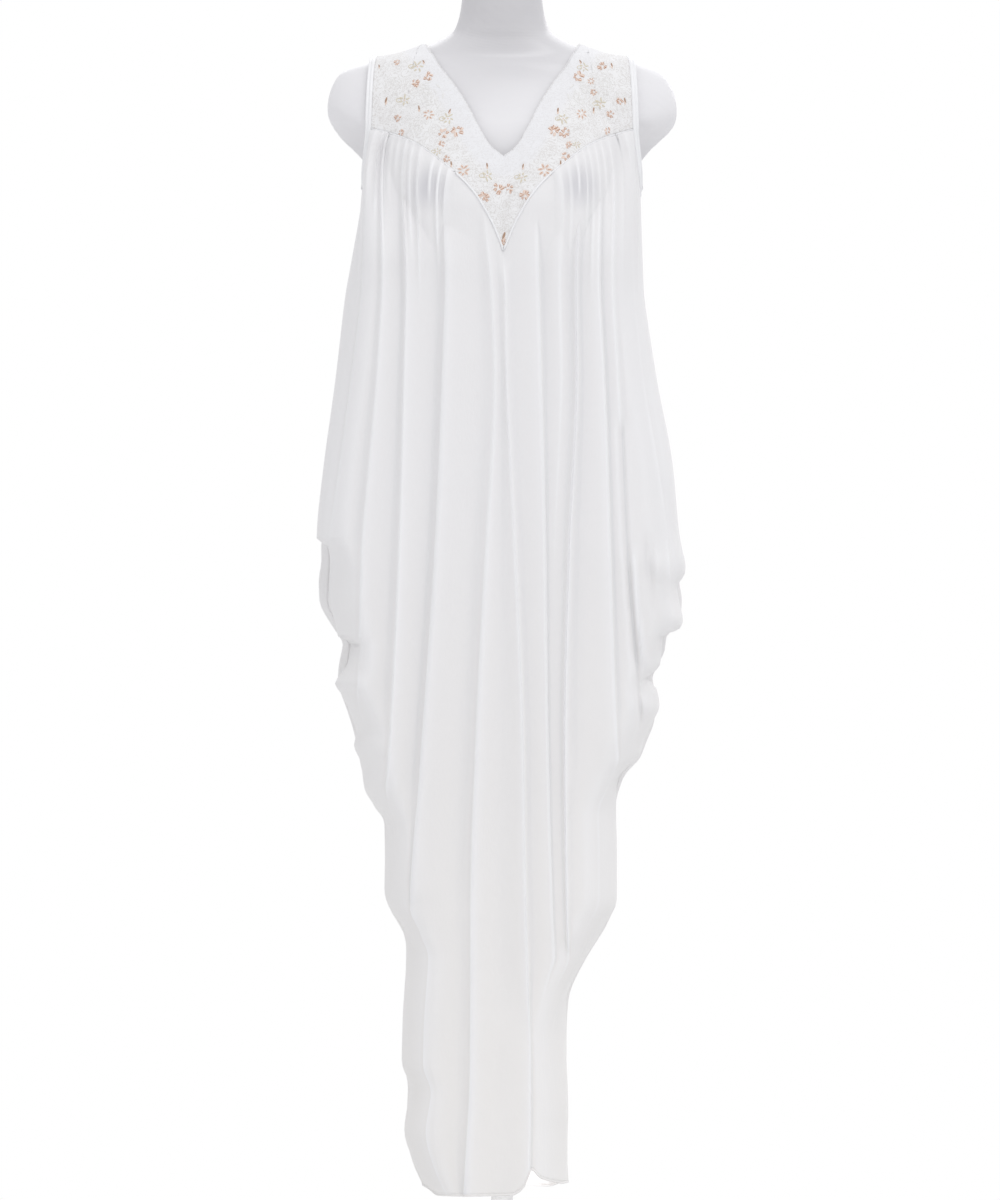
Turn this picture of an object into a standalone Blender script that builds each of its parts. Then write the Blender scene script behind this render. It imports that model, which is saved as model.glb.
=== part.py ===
"""A long sleeveless gown, gathered onto a lace yoke, on a limbless dress form with a round stand.

Lengths in the tables are millimetres. X runs across the front, Y from front to back and Z up from
the floor. The front of the gown faces -Y. The gown tapers to a narrow hem, and the cloth that is
spare at its sides hangs there in stacked swags.
"""
import math

import bmesh
import bpy
from mathutils import Vector

MM = 0.001
FRONT = -1
BACK = 1

# Cloth
CLOTH_WALL = 1.2
HEM_WALL = 2.4
HEM_ROLL = 5.0
SHARPEST_TURN = 1.3
SEAM_GAP = 0.4
CENTRE_X = 2.0

# Dress form
SECTION_POWER = 2.3
FORM_SIDES = 36
FORM_AXIS_Y = 8.0
ARM_CUT_X = 179.0
ARM_CUT_HEIGHT = 1335.5
ARM_CUT_ACROSS = 0.70
ARM_CUT_BACKWARD = -0.51
BUST_X = 80.0
BUST_HEIGHT = 1252.0
BUST_RISE = 26.0
BUST_WIDTH = 38.0
BUST_ABOVE = 58.0
BUST_BELOW = 36.0
BUST_FADE = 60.0
BUST_BRIDGE = 0.7
BLADE_HEIGHT = 1300.0
FORM_REACH = 300.0
RIDGE_LOW = 1370.0
RIDGE_HIGH = 1456.0
HALVINGS = 24
# The rays that find the form's outline bunch towards its sides, more so at the shoulders
WAIST_BUNCHING = 1.35
SHOULDER_BUNCHING = 2.2
BUNCHING_FROM = 1240.0
BUNCHING_OVER = 140.0

# Neck and shoulders with the tops of the arms: height, half width, front, back
SHOULDER_SECTIONS = (
    (1508, 46, 50, 42),
    (1490, 46, 49, 45),
    (1471, 49, 47, 52),
    (1457, 55, 46, 60),
    (1448, 69, 43, 64),
    (1437, 95, 43, 66),
    (1428, 122, 44, 68),
    (1424, 146, 47, 70),
    (1420, 165, 50, 73),
    (1416, 178, 52.5, 75.5),
    (1407, 190, 57, 79.5),
    (1394, 198, 63, 83),
    (1382, 202, 68, 85),
    (1353, 204.5, 72, 82),
    (1300, 203, 70, 68),
    (1240, 200, 68, 60),
)

# Chest, waist and hips: height, half width, front, back
TORSO_SECTIONS = (
    (1424, 100, 45, 68),
    (1400, 130, 66, 86),
    (1370, 145, 82, 98),
    (1330, 149, 98, 105),
    (1290, 147, 108, 108),
    (1255, 146, 112, 107),
    (1215, 141, 106, 102),
    (1160, 127, 92, 94),
    (1100, 117, 84, 88),
    (1060, 115, 82, 88),
    (1010, 122, 86, 96),
    (950, 145, 94, 112),
    (890, 164, 100, 124),
    (840, 168, 102, 124),
    (790, 164, 98, 116),
    (740, 156, 90, 102),
)

# Rings of the form: from height, to height, rings
FORM_RINGS = (
    (1504, 1460, 3),
    (1460, 1416, 13),
    (1416, 1400, 3),
    (1400, 1352, 4),
    (1352, 1282, 7),
    (1282, 1100, 6),
    (1100, 746, 5),
)
FORM_TOP = 1508.0
FORM_BOTTOM = 740.0
FORM_RIM_SHARE = 0.93

# Stand
POLE_RADIUS = 12.5
POLE_FLANGE_RADIUS = 34.0
BASE_RADIUS = 160.0
BASE_HEIGHT = 9.0
BASE_COLLAR_RADIUS = 24.0
BASE_COLLAR_HEIGHT = 34.0
BASE_EDGE = 2.0
POLE_FLANGE_HEIGHT = 8.0
STAND_SIDES = 24

# Front yoke's lower seam: distance from the centre, height
FRONT_SEAM = (
    (0, 1202),
    (14, 1236),
    (29, 1262),
    (45, 1281),
    (60, 1295),
    (74, 1306),
    (90, 1319),
    (107, 1329),
    (122, 1335),
    (139, 1341),
    (151, 1344),
)
BACK_SEAM = ((0, 1332), (80, 1334), (151, 1338))

# Neck edges: distance from the centre, height
NECK_SHARE = 0.75
FRONT_NECK = ((0, 1309), (14, 1320), (27, 1341), (40, 1367), (54, 1390), (72, 1414), (88, 1440))
BACK_NECK = ((0, 1411), (30, 1413), (60, 1423), (88, 1440))

# Lines that run up the yoke: share of the way across, and x at the neck edge or the shoulder
YOKE_LINES = (
    (0, 0),
    (0.24, 33),
    (0.48, 64),
    (0.6, 76),
    (0.65, 82),
    (0.69, 85.5),
    (0.72, 87.2),
    (0.75, 88),
    (1, 142),
)
# Shares of those lines that the two yokes are built on, wide first, then close by the neck corner
FRONT_YOKE_SHARES = (0, 0.06, 0.12, 0.18, 0.24, 0.32, 0.4, 0.48, 0.54, 0.6) + (
    0.65, 0.69, 0.72, 0.75, 0.81, 0.87, 0.93, 1)
BACK_YOKE_SHARES = (0, 0.2, 0.4, 0.5, 0.6, 0.65, 0.69, 0.72, 0.75, 0.83, 0.92, 1)
YOKE_HALF_AT_SEAM = 149.0
YOKE_LIFT_AT_SEAM = 4.0
YOKE_LIFT_AT_SHOULDER = 1.8
YOKE_LIFT_POWER = 3
YOKE_ROWS = 11
BACK_YOKE_ROWS = 10
LINE_SAMPLES = 60
# Lines near the armhole climb steeply first: extra power, and where along the shoulder it starts
STEEP_LINE_POWER = 2
STEEP_LINE_FROM = 60.0
STEEP_LINE_OVER = 28.0

# Armhole edge of the body panels: x, y, height, outward x, outward y
ARMHOLE_SEAM = (158, 6, 1269, 1.0, 0.0)
ARMHOLE_FRONT = ((159, -16, 1272, 1.0, -0.15), (157, -40, 1291, 0.8, -0.6))
ARMHOLE_BACK = ((159.5, 30, 1268, 1.0, 0.15), (158.5, 53, 1271, 0.85, 0.5))

BINDING_LIFT = 0.6
BINDING_STEP = 17.0
# Cross section of the armhole binding: away from the cloth, outward
BINDING_PROFILE = (
    (0.4, -0.3),
    (0.4, 0.8),
    (1.9, 1.5),
    (3.4, 0.8),
    (4.9, 1.5),
    (6.6, 0.8),
    (6.6, -0.2),
)

PIPING_RADIUS = 0.9
PIPING_SIDES = 5
PIPING_STEPS = 12
PIPING_REACH = 52.0

# General shape of the gown: height, middle x, half width, front depth, back depth
GOWN_SHAPE = (
    (1280, -1, 155, 128, 110),
    (1150, -4, 173, 140, 118),
    (1060, -5, 186, 143, 122),
    (960, -4, 201, 144, 132),
    (865, -3, 210, 142, 140),
    (760, -3, 190, 135, 134),
    (650, 0, 169, 124, 122),
    (550, -2, 138, 112, 110),
    (460, -1, 132, 103, 100),
    (370, -13, 100, 94, 92),
    (270, -18, 92, 86, 84),
    (120, -9, 84, 78, 76),
)
SHAPE_POWER = 2.4
SHAPE_MARGIN = 34.0
SIDE_ROUND = 46.0
SIDE_SEAM_Y = 6.0
SIDE_CREST_Y = 15.0
FOLD_SPACING = 2.4
STEEPEST_FOLD = 1.0
TROUGH_SHARE = 0.8
FOLD_FADE = 12.0
FOLD_FADE_START = 0.3
SIDE_TROUGH_SHARE = 1.6

# Sections of the gown below the bust, one row each, left then right:
# height, front reach, back reach, tuck of the seam
SIDE_SECTIONS = (
    ((1151, -182, -180, 8), (1151, 164, 163, 8)),
    ((1056, -193, -190, 12), (1056, 179, 177, 12)),
    ((961, -206, -202, 15), (961, 197, 194, 15)),
    ((896, -213, -206, 16), (878, 205, 201, 16)),
    ((874, -214, -208, 16), (843, 212, 204, 16)),
    ((865, -201, -209, 12), (833, 211, 204, 14)),
    ((848, -198, -209, 15), (818, 202, 206, 14)),
    ((825, -198, -212, 17), (804, 204, 208, 16)),
    ((802, -197, -211, 14), (781, 209, 206, 16)),
    ((779, -193, -200, 12), (770, 205, 199, 12)),
    ((761, -189, -188, 9), (761, 185, 190, 9)),
    ((752, -168, -184, 12), (745, 184, 188, 10)),
    ((726, -180, -189, 14), (728, 182, 180, 12)),
    ((707, -193, -190, 12), (713, 168, 174, 9)),
    ((695, -185, -186, 10), (702, 178, 176, 10)),
    ((673, -175, -178, 10), (682, 182, 178, 12)),
    ((650, -168, -171, 9), (663, 174, 176, 11)),
    ((636, -171, -168, 9), (642, 164, 168, 9)),
    ((616, -163, -164, 9), (622, 158, 160, 8)),
    ((587, -159, -157, 9), (598, 132, 140, 7)),
    ((566, -147, -148, 8), (556, 132, 130, 8)),
    ((545, -134, -136, 7), (515, 133, 131, 8)),
    ((472, -136, -135, 8), (460, 133, 131, 8)),
    ((451, -131, -131, 7), (429, 118, 121, 7)),
    ((428, -114, -118, 6), (411, 108, 110, 6)),
    ((417, -111, -113, 6), (390, 95, 97, 6)),
    ((400, -110, -111, 6), (343, 74, 77, 6)),
    ((320, -115, -113, 6), (297, 74, 75, 6)),
    ((274, -116, -114, 6), (251, 76, 75, 6)),
    ((242, -107, -109, 5), (216, 77, 76, 5)),
    ((194, -113, -111, 5), (182, 76, 76, 5)),
)
# Reach of the gown at its hem, the same columns without the heights
HEM_SECTIONS = (
    ((-102, -104, 5), (76, 76, 5)),
    ((-91, -94, 4), (77, 76, 4)),
    ((-88, -92, 4), (77, 76, 4)),
)
HEM_STEPS = (28.0, 5.0, 0.0)
HEM_MIDDLE_X = -7.0
HEM_SIDE_FROM = 66.0
HEM_SIDE_OVER = 14.0

# Height of the hem: x, height
FRONT_HEM = (
    (-95, 129),
    (-74, 120),
    (11, 121),
    (23, 128),
    (30, 143),
    (34, 150),
    (44, 141),
    (60, 136),
    (78, 135),
)
BACK_HEM = ((-95, 131), (-50, 127), (10, 130), (50, 127), (78, 133))

EDGE_GUIDE_SHARE = 0.2
SPREAD_POWER = 1.3
DEPTH_PACE = 1.25
CLEAR_HALF_WIDTH = 140.0
GATHER_INWARD = 0.6
# Rows between the yoke seam and the first section: share of the drop, depth of the gathers
GATHER_ROWS = ((0.0, 1.1), (0.05, 1.6), (0.15, 1.9), (0.34, 1.5), (0.62, 0.6))
PLAIN_SEAM_HALF = 56.0
PLAIN_SEAM_BLEND = 6.0
PLAIN_SEAM_PACE = 2.5

# Folds, left to right: x at the seam, then at heights FOLD_HEIGHTS, depth high, middle and low,
# and the gathers between this fold and the next
FOLD_HEIGHTS = (1060, 865, 650, 460, 270, 120)
DEPTH_HEIGHTS = (1120, 760, 320)
FRONT_FOLDS = (
    (-149, (-178, -208, -230, -230, -230, -230), (3, 2, 0), 0),
    (-142, (-172, -197, -220, -225, -225, -225), (5, 4, 0), 1),
    (-129, (-143, -159, -167, -180, -190, -190), (6, 7, 0), 2),
    (-106, (-112, -117, -128, -145, -160, -160), (7, 8, 4), 4),
    (-59, (-68, -76, -91, -105, -122, -130), (8, 9, 5), 1),
    (-24, (-8, -18, -29, -35, -36, -44), (5, 8, 9), 0),
    (2, (5, 15, 24, 27, 33, 32), (3, 6, 8), 0),
    (38, (47, 55, 60, 64, 76, 80), (7, 9, 4), 1),
    (61, (66, 66, 66, 68, 78, 81), (6, 3, 0), 1),
    (82, (84, 77, 72, 72, 82, 84), (9, 11, 4), 2),
    (102, (119, 124, 131, 150, 160, 160), (7, 9, 0), 1),
    (117, (133, 142, 157, 170, 180, 180), (6, 7, 0), 1),
    (138, (161, 191, 200, 200, 200, 200), (6, 5, 0), 0),
    (149, (172, 203, 225, 225, 225, 225), (3, 2, 0), 0),
)
BACK_FOLDS = (
    (-149, (-176, -204, -225, -225, -225, -225), (3, 2, 0), 1),
    (-124, (-141, -160, -170, -185, -190, -190), (6, 7, 0), 3),
    (-84, (-92, -103, -112, -118, -130, -130), (8, 10, 5), 3),
    (-42, (-48, -53, -58, -63, -70, -66), (7, 9, 8), 3),
    (-4, (1, -4, 3, -3, -12, -14), (9, 11, 9), 3),
    (39, (47, 52, 50, 44, 36, 38), (7, 9, 7), 3),
    (80, (91, 98, 101, 97, 90, 96), (8, 10, 4), 3),
    (124, (143, 161, 158, 160, 160, 160), (6, 6, 0), 1),
    (149, (170, 202, 220, 220, 220, 220), (3, 2, 0), 0),
)


def clamp(value, low=0.0, high=1.0):
    """Value held between two limits."""
    return max(low, min(high, value))


def mix(first, second, share):
    """Value part of the way from the first to the second."""
    return first + (second - first) * share


def soft_step(share):
    """Smooth step from 0 to 1."""
    share = clamp(share)
    return share * share * (3 - 2 * share)


def eased(knots, at):
    """Value between (place, value) knots with rising places, smooth and without overshoot."""
    if at <= knots[0][0]:
        return knots[0][1]
    if at >= knots[-1][0]:
        return knots[-1][1]
    last = len(knots) - 1
    step = next(index for index in range(last) if at <= knots[index + 1][0])

    def rise(index):
        return (knots[index + 1][1] - knots[index][1]) / (knots[index + 1][0] - knots[index][0])

    def slope(index):
        if index == 0:
            return rise(0)
        if index == last:
            return rise(last - 1)
        before = rise(index - 1)
        after = rise(index)
        if before * after <= 0:
            return 0.0
        return 2 * before * after / (before + after)

    (start, low), (end, high) = knots[step], knots[step + 1]
    span = end - start
    share = (at - start) / span
    bend_in = share * (1 - share) ** 2 * span * slope(step)
    bend_out = share * share * (share - 1) * span * slope(step + 1)
    return mix(low, high, soft_step(share)) + bend_in + bend_out


def knots_of(table, column):
    """One column of a table against its first column, as rising knots."""
    return sorted((row[0], row[column]) for row in table)


def section_columns(table):
    """The three columns of a table of body sections, as knots."""
    return tuple(knots_of(table, column) for column in (1, 2, 3))


SHOULDERS = section_columns(SHOULDER_SECTIONS)
TORSO = section_columns(TORSO_SECTIONS)
SHAPE = tuple(knots_of(GOWN_SHAPE, column) for column in (1, 2, 3, 4))


def section(columns, height):
    """Half width, middle and half depth of a body section at a height."""
    half, front, back = (eased(knots, height) for knots in columns)
    return half, (back - front) / 2, (back + front) / 2


def bust_rise(x, height):
    """How far the bust stands out of the chest."""
    spread = BUST_ABOVE if height > BUST_HEIGHT else BUST_BELOW
    across = (abs(x) - BUST_X) / BUST_WIDTH
    along = (height - BUST_HEIGHT) / spread
    return BUST_RISE * math.exp(-(across * across + along * along) / 2)


def in_form(x, y, height):
    """True where a point is inside the dress form."""
    half, middle, depth = section(SHOULDERS, height)
    share = (abs(x) / half) ** SECTION_POWER + (abs(y - middle) / depth) ** SECTION_POWER
    cut = ARM_CUT_HEIGHT + ARM_CUT_ACROSS * (abs(x) - ARM_CUT_X) + ARM_CUT_BACKWARD * y
    if share < 1 and height > min(cut, TORSO_SECTIONS[0][0]):
        return True
    if height > TORSO_SECTIONS[0][0]:
        return False
    half, middle, depth = section(TORSO, height)
    if y < middle:
        y += bust_rise(x, height) * clamp((middle - y) / BUST_FADE)
    return (abs(x) / half) ** SECTION_POWER + (abs(y - middle) / depth) ** SECTION_POWER < 1


def form_ring(height, share=1.0):
    """Points round the form at a height."""
    rise = soft_step((height - BUNCHING_FROM) / BUNCHING_OVER)
    spread = mix(WAIST_BUNCHING, SHOULDER_BUNCHING, rise)
    ring = []
    for side in range(FORM_SIDES):
        turn = 2 * math.pi * side / FORM_SIDES
        ray = Vector((math.cos(turn) * spread, math.sin(turn), 0)).normalized()
        near = 0.0
        far = FORM_REACH
        for _ in range(HALVINGS):
            reach = (near + far) / 2
            if in_form(ray.x * reach, FORM_AXIS_Y + ray.y * reach, height):
                near = reach
            else:
                far = reach
        ring.append(Vector((ray.x * near * share, FORM_AXIS_Y + ray.y * near * share, height)))
    return ring


def cloth_face(x, height, side):
    """Y of the body surface that worn cloth follows, bridging the bust and hanging from it."""
    height = max(height, BUST_HEIGHT if side == FRONT else BLADE_HEIGHT)
    faces = []
    for columns in (SHOULDERS, TORSO):
        if columns is TORSO and height > TORSO_SECTIONS[0][0]:
            continue
        half, middle, depth = section(columns, height)
        bulge = max(0.0, 1 - (abs(x) / half) ** SECTION_POWER) ** (1 / SECTION_POWER)
        reach = depth * bulge
        if side == FRONT and columns is TORSO:
            bridge = mix(BUST_BRIDGE, 1.0, clamp(abs(x) / BUST_X))
            rise = bust_rise(max(abs(x), BUST_X), height) * bridge
            reach = max(reach + rise if reach + rise > BUST_FADE else 0, reach / (1 - rise / BUST_FADE))
            reach = min(reach, depth * bulge + rise)
        faces.append(side * middle + reach)
    return side * max(faces)


def ridge_height(x):
    """Height of the top of the shoulder at a distance from the neck."""
    low = RIDGE_LOW
    high = RIDGE_HIGH
    for _ in range(HALVINGS):
        height = (low + high) / 2
        if eased(SHOULDERS[0], height) > abs(x):
            low = height
        else:
            high = height
    return high


def seam_height(x, side):
    """Height of the yoke's lower seam."""
    knots = FRONT_SEAM if side == FRONT else BACK_SEAM
    return eased(knots, abs(x - CENTRE_X))


def yoke_base(across, up, side):
    """Point of the body under the yoke, across from -1 to 1 and up from 0 to 1."""
    lean = CENTRE_X * (1 - abs(across))
    seam_x = across * YOKE_HALF_AT_SEAM + lean
    top_x = math.copysign(eased(YOKE_LINES, abs(across)), across) + lean
    neck = FRONT_NECK if side == FRONT else BACK_NECK
    below_ridge = 0.0
    if abs(across) < NECK_SHARE:
        below_ridge = ridge_height(top_x) - eased(neck, abs(top_x - lean))
    bottom = seam_height(seam_x, side)
    power = 1 + STEEP_LINE_POWER * soft_step((abs(top_x) - STEEP_LINE_FROM) / STEEP_LINE_OVER)
    x = mix(seam_x, top_x, up)
    height = mix(bottom, ridge_height(x) - below_ridge, 1 - (1 - up) ** power)
    return Vector((x, cloth_face(x, height, side), height))


def yoke_frame(across, up, side):
    """Body point under the yoke and the direction out of it."""
    if up == 0:
        return seam_point(yoke_base(across, 0, side).x, side, 0)
    step = 0.02
    here = yoke_base(across, up, side)
    sideways = yoke_base(min(1, across + step), up, side) - yoke_base(max(-1, across - step), up, side)
    upward = yoke_base(across, min(1, up + step), side) - yoke_base(across, max(0, up - step), side)
    outward = sideways.cross(upward) * -side
    if up == 1 and abs(across) >= NECK_SHARE:
        outward.y = 0
        here.y += side * SEAM_GAP / 2
    return here, outward.normalized()


def yoke_ups(across, rows, side):
    """Places up a line of the yoke that are evenly spaced along the cloth, from the top down."""
    lengths = [0.0]
    points = [yoke_base(across, 1 - index / LINE_SAMPLES, side) for index in range(LINE_SAMPLES + 1)]
    for first, second in zip(points, points[1:]):
        lengths.append(lengths[-1] + (second - first).length)
    knots = [(length, 1 - index / LINE_SAMPLES) for index, length in enumerate(lengths)]
    ups = [eased(knots, lengths[-1] * row / rows) for row in range(rows + 1)]
    ups[-1] = 0
    return ups


def yoke_lift(up):
    """Clearance between the form and the inside of the yoke."""
    return mix(YOKE_LIFT_AT_SEAM, YOKE_LIFT_AT_SHOULDER, up ** YOKE_LIFT_POWER)


def seam_point(x, side, lift, drop=0.0):
    """Point on the yoke seam at x, lifted off the body and dropped along the cloth."""
    height = seam_height(x, side)
    step = 0.5
    across = (cloth_face(x + step, height, side) - cloth_face(x - step, height, side)) / (2 * step)
    along = (cloth_face(x, height + step, side) - cloth_face(x, height - step, side)) / (2 * step)
    outward = Vector((-across, 1, -along)).normalized() * side
    slope = (seam_height(x + step, side) - seam_height(x - step, side)) / (2 * step)
    fall = drop * math.sqrt(1 + slope * slope)
    point = Vector((x, cloth_face(x, height, side), height - fall))
    return point + outward * lift, outward


def finish(name, mesh_data, material):
    """Object from a bmesh in millimetres, with its faces pointing out."""
    bmesh.ops.recalc_face_normals(mesh_data, faces=mesh_data.faces)
    bmesh.ops.scale(mesh_data, vec=(MM, MM, MM), verts=mesh_data.verts)
    mesh = bpy.data.meshes.new(name)
    mesh_data.to_mesh(mesh)
    mesh_data.free()
    mesh.shade_smooth()
    mesh.set_sharp_from_angle(angle=math.radians(50))
    mesh.materials.append(material)
    thing = bpy.data.objects.new(name, mesh)
    bpy.context.scene.collection.objects.link(thing)
    return thing


def finish_material(name, colour, roughness, sheen=0.0, coat=0.0):
    """Principled material in one colour."""
    material = bpy.data.materials.new(name)
    material.use_nodes = True
    shader = material.node_tree.nodes["Principled BSDF"]
    shader.inputs["Base Color"].default_value = (*colour, 1)
    shader.inputs["Roughness"].default_value = roughness
    shader.inputs["Metallic"].default_value = 0.0
    shader.inputs["Sheen Weight"].default_value = sheen
    shader.inputs["Coat Weight"].default_value = coat
    return material


def tube_mesh(rings, closed=False):
    """Closed solid through rings with equal counts of points, capped unless it is a loop."""
    mesh_data = bmesh.new()
    loops = [[mesh_data.verts.new(point) for point in ring] for ring in rings]
    count = len(loops[0])
    pairs = list(zip(loops, loops[1:]))
    if closed:
        pairs.append((loops[-1], loops[0]))
    else:
        mesh_data.faces.new(loops[0])
        mesh_data.faces.new(loops[-1])
    for upper, lower in pairs:
        for index in range(count):
            after = (index + 1) % count
            mesh_data.faces.new((upper[index], upper[after], lower[after], lower[index]))
    return mesh_data


def cloth_mesh(rows, wall_at):
    """Closed cloth wall from rows of (column, outer point, outward direction or None).

    A lower row may hold fewer columns than the row above. Where no direction is given, the wall
    is set off square to the surface. Both faces of the wall have the same triangles, so that they
    stay apart where the cloth twists.
    """
    mesh_data = bmesh.new()
    grid = []
    outward_of = {}
    for row in rows:
        line = []
        for column, point, outward in row:
            corner = mesh_data.verts.new(point)
            outward_of[corner] = outward
            line.append((column, corner))
        grid.append(line)
    for upper, lower in zip(grid, grid[1:]):
        places = {column: index for index, (column, _) in enumerate(upper)}
        for (first, low_first), (second, low_second) in zip(lower, lower[1:]):
            above = [corner for _, corner in upper[places[first]:places[second] + 1]]
            mesh_data.faces.new(above + [low_second, low_first])
    bmesh.ops.recalc_face_normals(mesh_data, faces=mesh_data.faces)
    middle = mesh_data.faces[len(mesh_data.faces) // 2]
    if middle.normal.y * middle.calc_center_median().y < 0:
        bmesh.ops.reverse_faces(mesh_data, faces=mesh_data.faces)
    bmesh.ops.triangulate(mesh_data, faces=mesh_data.faces, quad_method="SHORT_EDGE")
    mesh_data.normal_update()
    outer_faces = list(mesh_data.faces)
    rim = [edge for edge in mesh_data.edges if len(edge.link_faces) == 1]
    inner_points = []
    for corner, outward in outward_of.items():
        if outward is None:
            outward = corner.normal * min(corner.calc_shell_factor(), SHARPEST_TURN)
        inner_points.append((corner, corner.co - outward * wall_at(corner.co)))
    inner = {corner: mesh_data.verts.new(point) for corner, point in inner_points}
    for face in outer_faces:
        mesh_data.faces.new([inner[corner] for corner in reversed(face.verts)])
    for edge in rim:
        first, second = edge.verts
        mesh_data.faces.new((first, second, inner[second], inner[first]))
    return mesh_data


def make_form(material):
    """Torso with a neck, cut shoulder caps, bust, waist and hips."""
    heights = []
    for start, end, count in FORM_RINGS:
        heights += [mix(start, end, index / count) for index in range(count)]
    heights.append(FORM_RINGS[-1][1])
    rings = [form_ring(FORM_TOP, FORM_RIM_SHARE)]
    rings += [form_ring(height) for height in heights]
    rings.append(form_ring(FORM_BOTTOM, FORM_RIM_SHARE))
    return finish("dress_form", tube_mesh(rings), material)


def turned(name, outline, material):
    """Solid turned about the form's axis from rows of (radius, height)."""
    rings = []
    for radius, height in outline:
        ring = []
        for side in range(STAND_SIDES):
            turn = 2 * math.pi * side / STAND_SIDES
            ring.append(Vector((radius * math.cos(turn), FORM_AXIS_Y + radius * math.sin(turn), height)))
        rings.append(ring)
    return finish(name, tube_mesh(rings), material)


def make_stand(material):
    """Round base and a pole that carries the form on a flange."""
    base_outline = (
        (BASE_RADIUS - 1, 0),
        (BASE_RADIUS, BASE_EDGE),
        (BASE_RADIUS, BASE_HEIGHT - BASE_EDGE),
        (BASE_RADIUS - 3, BASE_HEIGHT),
        (BASE_COLLAR_RADIUS + 5, BASE_HEIGHT + 2),
        (BASE_COLLAR_RADIUS, BASE_HEIGHT + 6),
        (BASE_COLLAR_RADIUS - 3, BASE_COLLAR_HEIGHT),
    )
    turned("stand_base", base_outline, material)
    flange_bottom = FORM_BOTTOM - SEAM_GAP - POLE_FLANGE_HEIGHT
    pole_outline = (
        (POLE_RADIUS, BASE_COLLAR_HEIGHT + SEAM_GAP),
        (POLE_RADIUS, flange_bottom - 10),
        (POLE_RADIUS + 4, flange_bottom - 3),
        (POLE_FLANGE_RADIUS, flange_bottom),
        (POLE_FLANGE_RADIUS, FORM_BOTTOM - SEAM_GAP),
    )
    turned("stand_pole", pole_outline, material)


def make_yoke(name, side, shares, rows, material):
    """Lace yoke over the shoulders, from the yoke seam to the neck edge and the shoulder seam."""
    places = [-share for share in reversed(shares[1:])] + list(shares)
    ups = [yoke_ups(across, rows, side) for across in places]
    grid = []
    for row in range(rows + 1):
        line = []
        for index, across in enumerate(places):
            up = ups[index][row]
            here, outward = yoke_frame(across, up, side)
            line.append((index, here + outward * (yoke_lift(up) + CLOTH_WALL), outward))
        grid.append(line)
    return finish(name, cloth_mesh(grid, lambda point: CLOTH_WALL), material)


def fold_columns(folds):
    """Columns of a panel between its two outermost folds.

    Each is (key, left fold, right fold, share between them, sign in the gathers, kept below).
    """
    columns = []
    for index, (_, _, _, gathers) in enumerate(folds):
        columns.append(((index, 0.0), index, index, 0.0, 1, True))
        if index == len(folds) - 1:
            break
        parts = 2 * (gathers + 1)
        for part in range(1, parts):
            sign = 1 if part % 2 == 0 else -GATHER_INWARD
            share = part / parts
            columns.append(((index, share), index, index + 1, share, sign, part == gathers + 1))
    return columns


def fold_x(fold, height):
    """X of a fold line at a height."""
    seam_x, lower, _, _ = fold
    knots = sorted(zip(FOLD_HEIGHTS, lower))
    knots.append((1300, seam_x))
    return eased(knots, height)


def fold_depth(fold, height):
    """Depth of a fold at a height."""
    return eased(sorted(zip(DEPTH_HEIGHTS, fold[2])), height)


def gown_y(x, height, left, right, side):
    """Y of the gown's plain surface at a place, rounded where it turns to the side seams."""
    middle, half, front, back = (eased(knots, height) for knots in SHAPE)
    depth = front if side == FRONT else back
    share = clamp(abs(x - middle) / (half + SHAPE_MARGIN), 0.0, 0.999)
    inner = depth * (1 - share ** SHAPE_POWER) ** (1 / SHAPE_POWER)
    turn = 1 - clamp(min(x - left, right - x) / SIDE_ROUND)
    return SIDE_SEAM_Y + (side * inner - SIDE_SEAM_Y) * math.sqrt(1 - turn * turn)


def gown_row(folds, columns, left, right, heights, side):
    """One row of a panel from side seam to side seam, below the gathers.

    Left and right are (front reach, back reach, tuck); heights gives the height at an x.
    """
    pick = 0 if side == FRONT else 1
    low = left[pick]
    high = right[pick]
    count = len(folds)
    fold_xs = []
    fades = []
    for index, fold in enumerate(folds):
        height = heights((low + high) / 2)
        wanted = fold_x(fold, height)
        least = low + FOLD_SPACING * (2 * index + 3)
        most = high - FOLD_SPACING * (2 * (count - 1 - index) + 3)
        nearest = max(least, fold_xs[-1] + FOLD_SPACING * 2) if fold_xs else least
        fold_xs.append(clamp(wanted, nearest, most))
        from_left = soft_step((wanted - least) / FOLD_FADE + FOLD_FADE_START)
        from_right = soft_step((most - wanted) / FOLD_FADE + FOLD_FADE_START)
        fades.append(from_left * from_right)
    waves = []
    for index, (fold, fade) in enumerate(zip(folds, fades)):
        nearby = fold_xs[max(index - 1, 0):index + 2]
        space = min(abs(second - first) for first, second in zip(nearby, nearby[1:]))
        waves.append(min(fold_depth(fold, heights(0)) * fade, space * STEEPEST_FOLD))
    row = side_points(left, low, high, heights, side, 1)
    for key, first, second, share, _, _ in columns:
        x = mix(fold_xs[first], fold_xs[second], share)
        height = heights(x)
        if first == second:
            wave = waves[first]
        else:
            room = (fold_xs[second] - fold_xs[first]) / 2
            wave = -TROUGH_SHARE * min(waves[first], waves[second], room)
        y = gown_y(x, height, low, high, side) + side * wave
        row.append((key, Vector((x, y, height)), None))
    row += reversed(side_points(right, low, high, heights, side, -1))
    return row


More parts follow.
